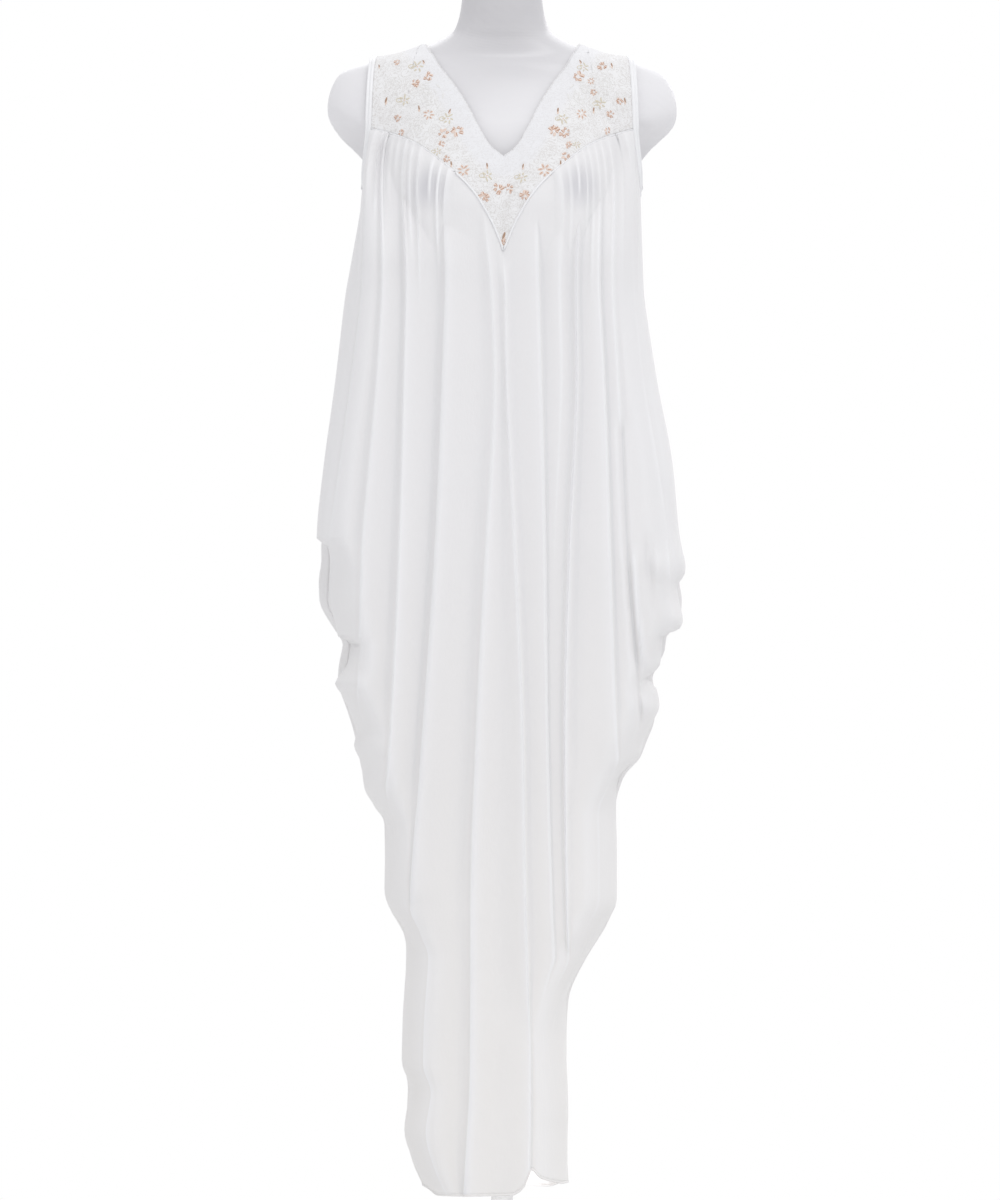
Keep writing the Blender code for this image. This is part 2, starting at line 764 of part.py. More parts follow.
def side_points(reach, low, high, heights, side, inward):
    """Side seam, side crest and side trough of a panel at one edge."""
    edge = low if inward == 1 else high
    outermost = min(reach[0] * inward, reach[1] * inward) * inward
    seam_x = outermost + inward * reach[2]
    crest_y = SIDE_SEAM_Y + side * SIDE_CREST_Y
    trough_x = edge + inward * FOLD_SPACING * SIDE_TROUGH_SHARE
    trough_y = gown_y(trough_x, heights(edge), low, high, side)
    seam_y = SIDE_SEAM_Y + side * SEAM_GAP / 2
    name = "left" if inward == 1 else "right"
    return [
        ((name, 0), Vector((seam_x, seam_y, heights(seam_x))), None),
        ((name, 1), Vector((edge, crest_y, heights(edge))), None),
        ((name, 2), Vector((trough_x, trough_y, heights(trough_x))), None),
    ]


def armhole_points(side, inward):
    """Top points of a panel's edge columns, along the armhole, from the side seam."""
    rows = (ARMHOLE_SEAM,) + (ARMHOLE_FRONT if side == FRONT else ARMHOLE_BACK)
    points = []
    for index, (x, y, height, out_x, out_y) in enumerate(rows):
        if index == 0:
            y += side * SEAM_GAP / 2
        outward = Vector((-out_x * inward, out_y, 0)).normalized()
        points.append((Vector((-x * inward, y, height)), outward))
    return points


def between_folds(targets, first, share):
    """Point of a section part of the way from a fold through the trough to the next fold."""
    trough = targets[(first, 0.5)]
    if share < 0.5:
        return targets[(first, 0.0)].lerp(trough, share * 2)
    return trough.lerp(targets[(first + 1, 0.0)], share * 2 - 1)


def gather_rows(folds, columns, first_row, side):
    """Rows from the yoke seam and the armholes down to the first section."""
    lift = YOKE_LIFT_AT_SEAM + CLOTH_WALL
    targets = {column: point for column, point, _ in first_row}
    rows = []
    for share, depth in GATHER_ROWS:
        row = []
        for name, inward in (("left", 1), ("right", -1)):
            edge = []
            for index, (top, outward) in enumerate(armhole_points(side, inward)):
                point = top.lerp(targets[(name, index)], share)
                edge.append(((name, index), point, outward if share < EDGE_GUIDE_SHARE else None))
            if name == "left":
                row = edge
                row += [None] * len(columns)
            else:
                row += reversed(edge)
        for index, (key, first, second, between, sign, kept) in enumerate(columns):
            seam_x = mix(folds[first][0], folds[second][0], between)
            top, outward = seam_point(seam_x, side, lift, SEAM_GAP)
            end = targets[key] if kept else between_folds(targets, first, between)
            point = top.lerp(end, share)
            point.x = mix(top.x, end.x, share ** SPREAD_POWER)
            point.y = mix(top.y, end.y, soft_step(share * DEPTH_PACE))
            limit = cloth_face(point.x, point.z, side) + side * lift
            if share > 0 and abs(point.x) < CLEAR_HALF_WIDTH:
                point.y = side * max(side * point.y, side * limit)
            fullness = soft_step((abs(seam_x - CENTRE_X) - PLAIN_SEAM_HALF) / PLAIN_SEAM_BLEND)
            if side == BACK or share > 0:
                fullness = max(fullness, soft_step(share * PLAIN_SEAM_PACE))
            guided = share == 0
            if index in (0, len(columns) - 1):
                fullness = share
                guided = share < EDGE_GUIDE_SHARE
            point.y += side * sign * depth * fullness
            row[3 + index] = (key, point, outward if guided else None)
        rows.append(row)
    return rows


def make_body(name, side, folds, material):
    """Body panel, gathered at its top, folded down its length and tapering to the hem."""
    columns = fold_columns(folds)
    kept = [column for column in columns if column[-1]]
    hem = FRONT_HEM if side == FRONT else BACK_HEM
    lower = []
    for left, right in SIDE_SECTIONS:
        pick = 1 if side == FRONT else 2

        def heights(x, left=left, right=right, pick=pick):
            return mix(left[0], right[0], clamp((x - left[pick]) / (right[pick] - left[pick])))

        lower.append(gown_row(folds, kept, left[1:], right[1:], heights, side))
    for (left, right), step in zip(HEM_SECTIONS, HEM_STEPS):

        def heights(x, step=step):
            ends = (eased(FRONT_HEM, x) + eased(BACK_HEM, x)) / 2
            near_side = soft_step((abs(x - HEM_MIDDLE_X) - HEM_SIDE_FROM) / HEM_SIDE_OVER)
            return mix(eased(hem, x), ends, near_side) + step

        lower.append(gown_row(folds, kept, left, right, heights, side))
    rows = gather_rows(folds, columns, lower[0], side) + lower

    def wall_at(point):
        return HEM_WALL if point.z < eased(hem, point.x) + HEM_ROLL + 1 else CLOTH_WALL

    return finish(name, cloth_mesh(rows, wall_at), material)


def filled_loop(stations):
    """Loop of (point, outward) stations, with more put in where they lie far apart."""
    full = []
    for index, (point, outward) in enumerate(stations):
        after, outward_after = stations[(index + 1) % len(stations)]
        parts = math.ceil((after - point).length / BINDING_STEP)
        for part in range(parts):
            share = part / parts
            full.append((point.lerp(after, share), outward.lerp(outward_after, share).normalized()))
    return full


def make_binding(name, inward, material):
    """Narrow binding with two ridges round an armhole, laid against the cut edges."""
    stations = []
    front_ups = reversed(yoke_ups(-inward, YOKE_ROWS, FRONT))
    back_ups = yoke_ups(-inward, BACK_YOKE_ROWS, BACK)[1:]
    for side, ups in ((FRONT, front_ups), (BACK, back_ups)):
        for up in ups:
            here, outward = yoke_frame(-inward, up, side)
            stations.append((here + outward * (yoke_lift(up) + BINDING_LIFT + CLOTH_WALL / 2), outward))
    lower = [*reversed(ARMHOLE_BACK), ARMHOLE_SEAM, *ARMHOLE_FRONT]
    for x, y, height, out_x, out_y in lower:
        outward = Vector((-out_x * inward, out_y, 0)).normalized()
        point = Vector((-x * inward, y, height)) - outward * (CLOTH_WALL / 2)
        stations.append((point, outward))
    stations = filled_loop(stations)
    rings = []
    count = len(stations)
    for index, (point, outward) in enumerate(stations):
        along = stations[(index + 1) % count][0] - stations[index - 1][0]
        away = along.cross(outward).normalized()
        if away.dot(Vector((-inward, 0, 0.6))) < 0:
            away = -away
        rings.append([point + away * reach + outward * rise for reach, rise in BINDING_PROFILE])
    return finish(name, tube_mesh(rings, closed=True), material)


def make_piping(name, direction, material):
    """Thin piping along the plain seam from the V point."""
    lift = YOKE_LIFT_AT_SEAM + CLOTH_WALL + PIPING_RADIUS + SEAM_GAP
    centres = []
    for step in range(PIPING_STEPS + 1):
        distance = mix(0.9, PIPING_REACH, step / PIPING_STEPS)
        centres.append(seam_point(CENTRE_X + direction * distance, FRONT, lift, SEAM_GAP / 2))
    rings = []
    for index, (point, outward) in enumerate(centres):
        along = centres[min(index + 1, PIPING_STEPS)][0] - centres[max(index - 1, 0)][0]
        across = along.cross(outward).normalized()
        if index == 0:
            across = Vector((0, 0, -direction))
        ring = []
        for corner in range(PIPING_SIDES):
            turn = 2 * math.pi * corner / PIPING_SIDES
            ring.append(point + (across * math.cos(turn) + outward * math.sin(turn)) * PIPING_RADIUS)
        rings.append(ring)
    return finish(name, tube_mesh(rings), material)


def clear_scene():
    """Remove what the file opened with."""
    for thing in list(bpy.data.objects):
        bpy.data.objects.remove(thing)


def build():
    """Make the gown, its form and its stand."""
    clear_scene()
    satin_white = finish_material("form_satin_white", (0.86, 0.86, 0.87), 0.38, coat=0.2)
    painted_metal = finish_material("stand_white_paint", (0.82, 0.82, 0.82), 0.35)
    jersey = finish_material("gown_ivory_jersey", (0.88, 0.88, 0.89), 0.62, sheen=0.4)
    lace = finish_material("yoke_cream_lace", (0.87, 0.85, 0.81), 0.75)
    trim = finish_material("trim_white_satin", (0.91, 0.91, 0.91), 0.5, sheen=0.2)
    make_form(satin_white)
    make_stand(painted_metal)
    make_yoke("front_yoke", FRONT, FRONT_YOKE_SHARES, YOKE_ROWS, lace)
    make_yoke("back_yoke", BACK, BACK_YOKE_SHARES, BACK_YOKE_ROWS, lace)
    make_body("front_body", FRONT, FRONT_FOLDS, jersey)
    make_body("back_body", BACK, BACK_FOLDS, jersey)
    make_binding("armhole_binding_left", -1, trim)
    make_binding("armhole_binding_right", 1, trim)
    make_piping("yoke_piping_left", 1, trim)
    make_piping("yoke_piping_right", -1, trim)


build()
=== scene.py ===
"""Looks of a long white gown, gathered onto a lace yoke, on a limbless dress form with a stand.

The tables are in millimetres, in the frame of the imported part: X runs across the front, Y from
front to back and Z up from the floor. The front of the gown faces -Y.
"""

import functools
import math
import random

import bpy
import numpy as np
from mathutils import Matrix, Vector
from mathutils.bvhtree import BVHTree


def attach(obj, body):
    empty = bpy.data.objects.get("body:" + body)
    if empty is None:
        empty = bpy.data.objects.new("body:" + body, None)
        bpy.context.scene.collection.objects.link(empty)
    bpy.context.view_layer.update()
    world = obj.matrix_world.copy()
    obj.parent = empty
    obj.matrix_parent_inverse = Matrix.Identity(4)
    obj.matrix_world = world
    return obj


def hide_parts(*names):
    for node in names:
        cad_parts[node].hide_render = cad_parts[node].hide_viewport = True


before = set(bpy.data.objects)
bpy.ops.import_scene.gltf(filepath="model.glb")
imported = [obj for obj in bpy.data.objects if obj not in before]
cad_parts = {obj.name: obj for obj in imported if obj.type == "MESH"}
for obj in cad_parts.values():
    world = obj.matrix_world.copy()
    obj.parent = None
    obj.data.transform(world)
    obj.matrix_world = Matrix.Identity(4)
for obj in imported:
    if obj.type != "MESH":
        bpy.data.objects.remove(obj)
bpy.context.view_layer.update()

# The view and the room. A very long lens looks level at the middle of the gown, so that nothing
# on it is foreshortened. The room is white all round, and soft light falls from above the front
# of the gown and from above its back.
MM = 0.001
FRONT = -1
BACK = 1
MM_PER_PIXEL = 1.15
PICTURE_PIXELS_HIGH = 1200
EYE_DISTANCE = 20.0
EYE_X = -0.0023
EYE_HEIGHT = 0.8031
SENSOR = 36.0
ROOM_LIGHT = 0.815
ROOM_TINT = (0.975, 0.98, 1.0)
FLOOR_RADIUS = 3.0
FLOOR_CORNERS = 64
# Lamps: name, turn to the wearer's left, height above level, strength, softness, in degrees
LAMPS = (("front_lamp", 20, 50, 0.75, 35), ("rear_lamp", 168, 35, 0.7, 60))

view_camera = bpy.data.cameras.new("view_camera")
view_camera.sensor_width = SENSOR
view_camera.lens = SENSOR * EYE_DISTANCE / (PICTURE_PIXELS_HIGH * MM_PER_PIXEL * MM)
view_camera.clip_end = 100.0
eye = bpy.data.objects.new("view_camera", view_camera)
eye.location = (EYE_X, -EYE_DISTANCE, EYE_HEIGHT)
eye.rotation_euler = (math.radians(90), 0, 0)
bpy.context.scene.collection.objects.link(eye)
bpy.context.scene.camera = eye
bpy.context.scene.view_settings.view_transform = "Standard"


def set_inputs(made, values):
    """Set a node's inputs, and join those that are given another node's output."""
    for socket, value in values.items():
        if isinstance(value, bpy.types.NodeSocket):
            made.id_data.links.new(value, made.inputs[socket])
        else:
            made.inputs[socket].default_value = value


def node(tree, kind, output, values=None, **settings):
    """Output of a new node, with its settings and inputs."""
    made = tree.nodes.new("ShaderNode" + kind)
    for setting, value in settings.items():
        setattr(made, setting, value)
    set_inputs(made, values or {})
    return made.outputs[output]


room = bpy.data.worlds.new("white_room")
room.use_nodes = True
bpy.context.scene.world = room
glow = room.node_tree.nodes["Background"]
set_inputs(glow, {"Color": (*ROOM_TINT, 1), "Strength": ROOM_LIGHT})
paper = node(room.node_tree, "Background", "Background", {"Color": (1, 1, 1, 1)})
seen = node(room.node_tree, "LightPath", "Is Camera Ray")
walls = node(room.node_tree, "MixShader", "Shader", {0: seen, 1: glow.outputs["Background"], 2: paper})
set_inputs(room.node_tree.nodes["World Output"], {"Surface": walls})

for name, turn, height, strength, softness in LAMPS:
    lamp = bpy.data.lights.new(name, "SUN")
    lamp.energy = strength
    lamp.angle = math.radians(softness)
    lamp_holder = bpy.data.objects.new(name, lamp)
    lamp_holder.rotation_euler = (math.radians(90 - height), 0, math.radians(turn))
    bpy.context.scene.collection.objects.link(lamp_holder)


def object_from(name, points, faces, material):
    """Smooth object from points in millimetres."""
    mesh = bpy.data.meshes.new(name)
    mesh.from_pydata([tuple(coordinate * MM for coordinate in point) for point in points], [], faces)
    mesh.shade_smooth()
    mesh.materials.append(material)
    thing = bpy.data.objects.new(name, mesh)
    bpy.context.scene.collection.objects.link(thing)
    return thing


def two_tone(tree, share, low, high):
    """Colour that turns from the low to the high (position, colour)."""
    tone = node(tree, "ValToRGB", "Color", {"Fac": share})
    for element, (position, colour) in zip(tone.node.color_ramp.elements, (low, high)):
        element.color = (*colour, 1)
        element.position = position
    return tone


def new_material(name):
    """Material with its tree of nodes."""
    material = bpy.data.materials.new(name)
    material.use_nodes = True
    return material, material.node_tree


def grained(name, colour, shade, grain, height, finish):
    """Material whose colour and height vary with a fine grain, its size and height in millimetres."""
    material, tree = new_material(name)
    place = node(tree, "TexCoord", "Object")
    speckle = node(tree, "TexNoise", "Fac", {"Vector": place, "Scale": 1 / (grain * MM), "Detail": 3})
    relief = node(tree, "Bump", "Normal", {"Height": speckle, "Distance": height * MM})
    tint = two_tone(tree, speckle, (0.3, shade), (0.62, colour))
    shader = tree.nodes["Principled BSDF"]
    set_inputs(shader, {"Base Color": tint, "Normal": relief, **finish})
    return material


floor_points = [(0, 0, 0)]
for corner in range(FLOOR_CORNERS):
    turn = math.tau * corner / FLOOR_CORNERS
    floor_points.append((math.cos(turn) * FLOOR_RADIUS / MM, math.sin(turn) * FLOOR_RADIUS / MM, 0))
floor_faces = [(0, 1 + corner, 1 + (corner + 1) % FLOOR_CORNERS) for corner in range(FLOOR_CORNERS)]
floor_paint = grained("floor_pale", (0.82, 0.82, 0.82), (0.81, 0.81, 0.81), 40, 0.05, {"Roughness": 0.9})
floor = object_from("floor", floor_points, floor_faces, floor_paint)

# The dress form. A moulded display torso in glossy white plastic, cut flat under the neck and at
# the shoulders, which carries the gown. Its solid is kept and smoothed.
FORM_WHITE = (0.835, 0.825, 0.84)
FORM_SHADE = (0.82, 0.81, 0.826)
FORM_DIM = (0.62, 0.61, 0.625)
# Where the form lies in shade: round the neck (centre), and below the shoulders (from the floor),
# each with its distance of full light and of full shade, in millimetres
FORM_DIM_SPOTS = (((0, -40, 1500), (1, 1, 1), 190, 35), ((0, 0, 0), (0, 0, 1), 1352, 1285))
FORM_GLOSS = {"Roughness": 0.33, "Coat Weight": 0.15, "Coat Roughness": 0.3, "Specular IOR Level": 0.4}


def rising(tree, value, start, end, most=1.0, **settings):
    """Value that rises from 0 at the start to its most at the end."""
    limits = {"Value": value, "From Min": start, "From Max": end, "To Max": most}
    return node(tree, "MapRange", "Result", limits, **settings)


def covered(tree, share, under, colour):
    """Colour covered by another one to a share."""
    layers = {"Factor": share, "A": under, "B": (*colour, 1)}
    return node(tree, "Mix", "Result", layers, data_type="RGBA")


def painted(name, material):
    """CAD node in its new material."""
    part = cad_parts[name]
    part.data.materials.clear()
    part.data.materials.append(material)
    return part


form_plastic = grained("form_satin_white", FORM_WHITE, FORM_SHADE, 60, 0.05, FORM_GLOSS)
form_tree = form_plastic.node_tree
form_place = node(form_tree, "TexCoord", "Object")
form_colour = form_tree.nodes["Principled BSDF"].inputs["Base Color"]
for centre, directions, bright, dim in FORM_DIM_SPOTS:
    away = node(form_tree, "VectorMath", "Vector", {0: form_place, 1: Vector(centre) * MM},
                operation="SUBTRACT")
    held = node(form_tree, "VectorMath", "Vector", {0: away, 1: directions}, operation="MULTIPLY")
    reach = node(form_tree, "VectorMath", "Value", {0: held}, operation="LENGTH")
    dimness = rising(form_tree, reach, bright * MM, dim * MM)
    dimmed = covered(form_tree, dimness, form_colour.links[0].from_socket, FORM_DIM)
    form_tree.links.new(dimmed, form_colour)
form = painted("dress_form", form_plastic)
form.data.shade_smooth()
weld = form.modifiers.new("joined_corners", "WELD")
weld.merge_threshold = 0.01 * MM
softener = form.modifiers.new("softened_surface", "SMOOTH")
softener.factor = 0.5
softener.iterations = 3
smoother = form.modifiers.new("moulded_surface", "SUBSURF")
smoother.levels = 2
smoother.render_levels = 2

# The stand. A round steel base and a pole in white paint, screwed together at the collar. The
# pole carries the form, and both keep their own solids.
STAND_GLOSS = {"Roughness": 0.4, "Coat Weight": 0.2, "Coat Roughness": 0.2}
stand_paint = grained("stand_white_paint", (0.86, 0.86, 0.86), (0.84, 0.84, 0.84), 2.5, 0.03, STAND_GLOSS)
for name in ("stand_base", "stand_pole"):
    painted(name, stand_paint)

# The lace yoke. A front and a back piece of fine stretch lace with a worked net ground, cut to a
# point at the bottom of the front and joined along the tops of the shoulders. Both follow the
# form, so its sections come first: height, half width, front, back.
SHOULDER_SECTIONS = (
    (1508, 46, 50, 42), (1490, 46, 49, 45), (1471, 49, 47, 52), (1457, 55, 46, 60),
    (1448, 69, 43, 64), (1437, 95, 43, 66), (1428, 122, 44, 68), (1424, 146, 47, 70),
    (1420, 165, 50, 73), (1416, 178, 52.5, 75.5), (1407, 190, 57, 79.5), (1394, 198, 63, 83),
    (1382, 202, 68, 85), (1353, 204.5, 72, 82), (1300, 203, 70, 68), (1240, 200, 68, 60),
)
TORSO_SECTIONS = (
    (1424, 100, 45, 68), (1400, 130, 66, 86), (1370, 145, 82, 98), (1330, 149, 98, 105),
    (1290, 147, 108, 108), (1255, 146, 112, 107), (1215, 141, 106, 102), (1160, 127, 92, 94),
)
SECTION_POWER = 2.3
BUST_X = 80.0
BUST_HEIGHT = 1252.0
BUST_RISE = 26.0
BUST_WIDTH = 38.0
BUST_ABOVE = 58.0
BUST_BELOW = 36.0
BUST_FADE = 60.0
BUST_BRIDGE = 0.7
BLADE_HEIGHT = 1300.0
RIDGE_LOW = 1370.0
RIDGE_HIGH = 1456.0
HALVINGS = 24
CENTRE_X = 2.0
# The yoke's lower seam and its neck edges: distance from the centre, height
FRONT_SEAM = (
    (0, 1202), (14, 1236), (29, 1262), (45, 1281), (60, 1295), (74, 1306), (90, 1319), (107, 1329),
    (122, 1335), (139, 1341), (151, 1344),
)
BACK_SEAM = ((0, 1332), (80, 1334), (151, 1338))
FRONT_NECK = ((0, 1309), (14, 1320), (27, 1341), (40, 1367), (54, 1390), (72, 1414), (88, 1440))
BACK_NECK = ((0, 1411), (30, 1413), (60, 1423), (88, 1440))
# Lines that run up the yoke: share of the way across, and x at the neck edge or the shoulder
YOKE_LINES = (
    (0, 0), (0.24, 33), (0.48, 64), (0.6, 76), (0.65, 82), (0.69, 85.5), (0.72, 87.2), (0.75, 88),
    (1, 142),
)
NECK_SHARE = 0.75
YOKE_HALF_AT_SEAM = 149.0
YOKE_LIFT_AT_SEAM = 4.0
YOKE_LIFT_AT_SHOULDER = 1.8
YOKE_LIFT_POWER = 3
STEEP_LINE_POWER = 2
STEEP_LINE_FROM = 60.0
STEEP_LINE_OVER = 28.0
LACE_WALL = 1.0
CLOTH_WALL = 1.2
LINE_SAMPLES = 60
YOKE_ROWS = 46
FRONT_YOKE_SHARES = (0, 0.12, 0.24, 0.36, 0.48, 0.56, 0.62, 0.66, 0.69, 0.72, 0.75, 0.83, 0.91, 1)
LINES_IN_A_SHARE = 6
NECK_SKIP = (len(FRONT_YOKE_SHARES) - 1 - FRONT_YOKE_SHARES.index(NECK_SHARE)) * LINES_IN_A_SHARE
NET_MESH = 1.7
NET_UNEVENNESS = 0.55
NET_RISE = 0.3
NET_THREAD = 0.06
NET_HOLE = 0.34
LACE_CREAM = (0.865, 0.86, 0.862)
LACE_SHADE = (0.72, 0.70, 0.685)
# The scrolls of the worked pattern: size, where the ground is worked, and its drawn lines
SCROLL_SIZE = 14.0
WORKED_FROM = 0.47
WORKED_FULL = 0.56
SCROLL_TURNS = 70.0
SCROLL_LINE = (0.55, 0.95)
SCROLL_DRAWN = 0.9
MARGIN_WHITE = (0.835, 0.835, 0.858)
MARGIN_WIDTH = 30.0
MARGIN_BLEND = 14.0
MARGIN_COVER = 0.62


def clamp(value, low=0.0, high=1.0):
    """Value held between two limits."""
    return max(low, min(high, value))


def mix(first, second, share):
    """Value part of the way from the first to the second."""
    return first + (second - first) * share


def soft_step(share):
    """Smooth step from 0 to 1."""
    share = clamp(share)
    return share * share * (3 - 2 * share)


def between(low, high, slope_low, slope_high, share):
    """Value on a smooth curve between two knots, from the slopes at both for a span of 1."""
    return (low + (high - low) * (share * share * (3 - 2 * share))
            + share * (1 - share) ** 2 * slope_low + share * share * (share - 1) * slope_high)


def eased(knots, at):
    """Value between (place, value) knots with rising places, smooth and without overshoot."""
    if at <= knots[0][0]:
        return knots[0][1]
    if at >= knots[-1][0]:
        return knots[-1][1]
    last = len(knots) - 1
    step = next(index for index in range(last) if at <= knots[index + 1][0])

    def rise(index):
        return (knots[index + 1][1] - knots[index][1]) / (knots[index + 1][0] - knots[index][0])

    def slope(index):
        before = rise(max(index - 1, 0))
        after = rise(min(index, last - 1))
        return 2 * before * after / (before + after) if before * after > 0 else 0.0

    (start, low), (end, high) = knots[step], knots[step + 1]
    span = end - start
    return between(low, high, span * slope(step), span * slope(step + 1), (at - start) / span)


def section_columns(table, columns=(1, 2, 3)):
    """Columns of a table against its first column, as rising knots."""
    return tuple(sorted((row[0], row[column]) for row in table) for column in columns)


SHOULDERS = section_columns(SHOULDER_SECTIONS)
TORSO = section_columns(TORSO_SECTIONS)


@functools.cache
def section(shoulders, height):
    """Half width, middle and half depth of a section of the form."""
    half, front, back = (eased(knots, height) for knots in (SHOULDERS if shoulders else TORSO))
    return half, (back - front) / 2, (back + front) / 2


def bust_rise(x, height):
    """How far the bust stands out of the chest."""
    spread = BUST_ABOVE if height > BUST_HEIGHT else BUST_BELOW
    across = (abs(x) - BUST_X) / BUST_WIDTH
    along = (height - BUST_HEIGHT) / spread
    return BUST_RISE * math.exp(-(across * across + along * along) / 2)


def cloth_face(x, height, side):
    """Y of the body surface that worn cloth follows, bridging the bust and hanging from it."""
    height = max(height, BUST_HEIGHT if side == FRONT else BLADE_HEIGHT)
    faces = []
    for shoulders in (True, False):
        if not shoulders and height > TORSO_SECTIONS[0][0]:
            continue
        half, middle, depth = section(shoulders, height)
        reach = depth * max(0.0, 1 - (abs(x) / half) ** SECTION_POWER) ** (1 / SECTION_POWER)
        if side == FRONT and not shoulders:
            bridge = mix(BUST_BRIDGE, 1.0, clamp(abs(x) / BUST_X))
            rise = bust_rise(max(abs(x), BUST_X), height) * bridge
            chest = reach
            reach = max(reach + rise if reach + rise > BUST_FADE else 0, reach / (1 - rise / BUST_FADE))
            reach = min(reach, chest + rise)
        faces.append(side * middle + reach)
    return side * max(faces)


@functools.cache
def ridge_height(x):
    """Height of the top of the shoulder at a distance from the neck."""
    low = RIDGE_LOW
    high = RIDGE_HIGH
    for _ in range(HALVINGS):
        height = (low + high) / 2
        if eased(SHOULDERS[0], height) > abs(x):
            low = height
        else:
            high = height
    return high


def seam_height(x, side):
    """Height of the yoke's lower seam."""
    return eased(FRONT_SEAM if side == FRONT else BACK_SEAM, abs(x - CENTRE_X))


def yoke_base(across, up, side):
    """Point of the body under the yoke, across from -1 to 1 and up from 0 to 1."""
    lean = CENTRE_X * (1 - abs(across))
    seam_x = across * YOKE_HALF_AT_SEAM + lean
    top_x = math.copysign(eased(YOKE_LINES, abs(across)), across) + lean
    below_ridge = 0.0
    if abs(across) < NECK_SHARE:
        neck = FRONT_NECK if side == FRONT else BACK_NECK
        below_ridge = ridge_height(top_x) - eased(neck, abs(top_x - lean))
    power = 1 + STEEP_LINE_POWER * soft_step((abs(top_x) - STEEP_LINE_FROM) / STEEP_LINE_OVER)
    x = mix(seam_x, top_x, up)
    top = ridge_height(x) - below_ridge
    height = mix(seam_height(seam_x, side), top, 1 - (1 - up) ** power)
    return Vector((x, cloth_face(x, height, side), height))


def yoke_ups(across, rows, side):
    """Places up a line of the yoke that are evenly spaced along the cloth, from the top down."""
    lengths = [0.0]
    points = [yoke_base(across, 1 - index / LINE_SAMPLES, side) for index in range(LINE_SAMPLES + 1)]
    for first, second in zip(points, points[1:]):
        lengths.append(lengths[-1] + (second - first).length)
    knots = [(length, 1 - index / LINE_SAMPLES) for index, length in enumerate(lengths)]
    ups = [eased(knots, lengths[-1] * row / rows) for row in range(rows + 1)]
    ups[-1] = 0
    return ups


def yoke_lift(up):
    """Clearance between the form and the inside of the yoke."""
    return mix(YOKE_LIFT_AT_SEAM, YOKE_LIFT_AT_SHOULDER, up ** YOKE_LIFT_POWER)


def grid_normals(grid, side):
    """Unit normals of a grid of points, rows by columns, that face out of the gown."""
    across = np.gradient(grid, axis=1)
    along = np.gradient(grid, axis=0)
    normals = np.cross(across, along)
    normals /= np.maximum(np.linalg.norm(normals, axis=2, keepdims=True), 1e-9)
    middle = normals[normals.shape[0] // 2, normals.shape[1] // 2]
    if middle[1] * side < 0:
        normals = -normals
    return normals


def grid_faces(grid):
    """Faces between the points of a grid."""
    rows, columns = grid.shape[:2]
    corners = [row * columns + column for row in range(rows - 1) for column in range(columns - 1)]
    return [(corner, corner + 1, corner + columns + 1, corner + columns) for corner in corners]


def sheet_from(name, grid, side, wall, material):
    """Thin cloth through a grid of points, its outer face on the grid."""
    faces = [face[::side] for face in grid_faces(grid)]
    cloth = object_from(name, grid.reshape(-1, 3).tolist(), faces, material)
    middle = cloth.data.polygons[len(faces) // 2]
    if middle.normal.y * side < 0:
        cloth.data.flip_normals()
    thickness = cloth.modifiers.new("wall", "SOLIDIFY")
    thickness.thickness = wall * MM
    thickness.offset = -1
    return cloth


def yoke_grid(side):
    """Points of a yoke's outer face, from the neck and shoulders down to the seam."""
    shares = []
    for first, second in zip(FRONT_YOKE_SHARES, FRONT_YOKE_SHARES[1:]):
        shares += [mix(first, second, step / LINES_IN_A_SHARE) for step in range(LINES_IN_A_SHARE)]
    shares.append(1)
    places = [-share for share in reversed(shares[1:])] + shares
    ups = [yoke_ups(across, YOKE_ROWS, side) for across in places]
    base = np.array([[yoke_base(across, ups[index][row], side) for index, across in enumerate(places)]
                     for row in range(YOKE_ROWS + 1)])
    lift = np.array([[yoke_lift(ups[index][row]) + CLOTH_WALL for index in range(len(places))]
                     for row in range(YOKE_ROWS + 1)])
    return base + grid_normals(base, side) * lift[:, :, None]


def net_lace(name):
    """Fine net and worked scrolls in cream, paler in the margin along the neck."""
    lace, tree = new_material(name)
    place = node(tree, "TexCoord", "Object")
    mesh = {"Vector": place, "Scale": 1 / (NET_MESH * MM), "Randomness": NET_UNEVENNESS}
    net = node(tree, "TexVoronoi", "Distance", mesh, feature="DISTANCE_TO_EDGE")
    cloud = node(tree, "TexNoise", "Fac", {"Vector": place, "Scale": 1 / (SCROLL_SIZE * MM), "Detail": 4})
    thread = two_tone(tree, net, (NET_THREAD, LACE_CREAM), (NET_HOLE, LACE_SHADE))
    worked = two_tone(tree, cloud, (WORKED_FROM, (0, 0, 0)), (WORKED_FULL, (1, 1, 1)))
    ground = covered(tree, worked, thread, LACE_CREAM)
    turns = node(tree, "Math", "Value", {0: cloud, 1: SCROLL_TURNS}, operation="MULTIPLY")
    scroll = node(tree, "Math", "Value", {0: turns}, operation="SINE")
    lined = covered(tree, rising(tree, scroll, *SCROLL_LINE, SCROLL_DRAWN), ground, LACE_SHADE)
    margin = node(tree, "Attribute", "Fac", attribute_name="margin")
    relief = node(tree, "Bump", "Normal", {"Height": net, "Distance": NET_RISE * MM}, invert=True)
    colour = covered(tree, margin, lined, MARGIN_WHITE)
    finish = {"Base Color": colour, "Normal": relief, "Roughness": 0.8, "Sheen Weight": 0.15}
    set_inputs(tree.nodes["Principled BSDF"], finish)
    return lace


def neck_part(row):
    """The part of a row of the yoke that lies along the neck."""
    return row[NECK_SKIP:len(row) - NECK_SKIP]


def store(piece, name, values):
    """Keep a number for every point of a piece, for its material."""
    marks = piece.data.attributes.new(name, "FLOAT", "POINT")
    marks.data.foreach_set("value", values.astype(np.float32))


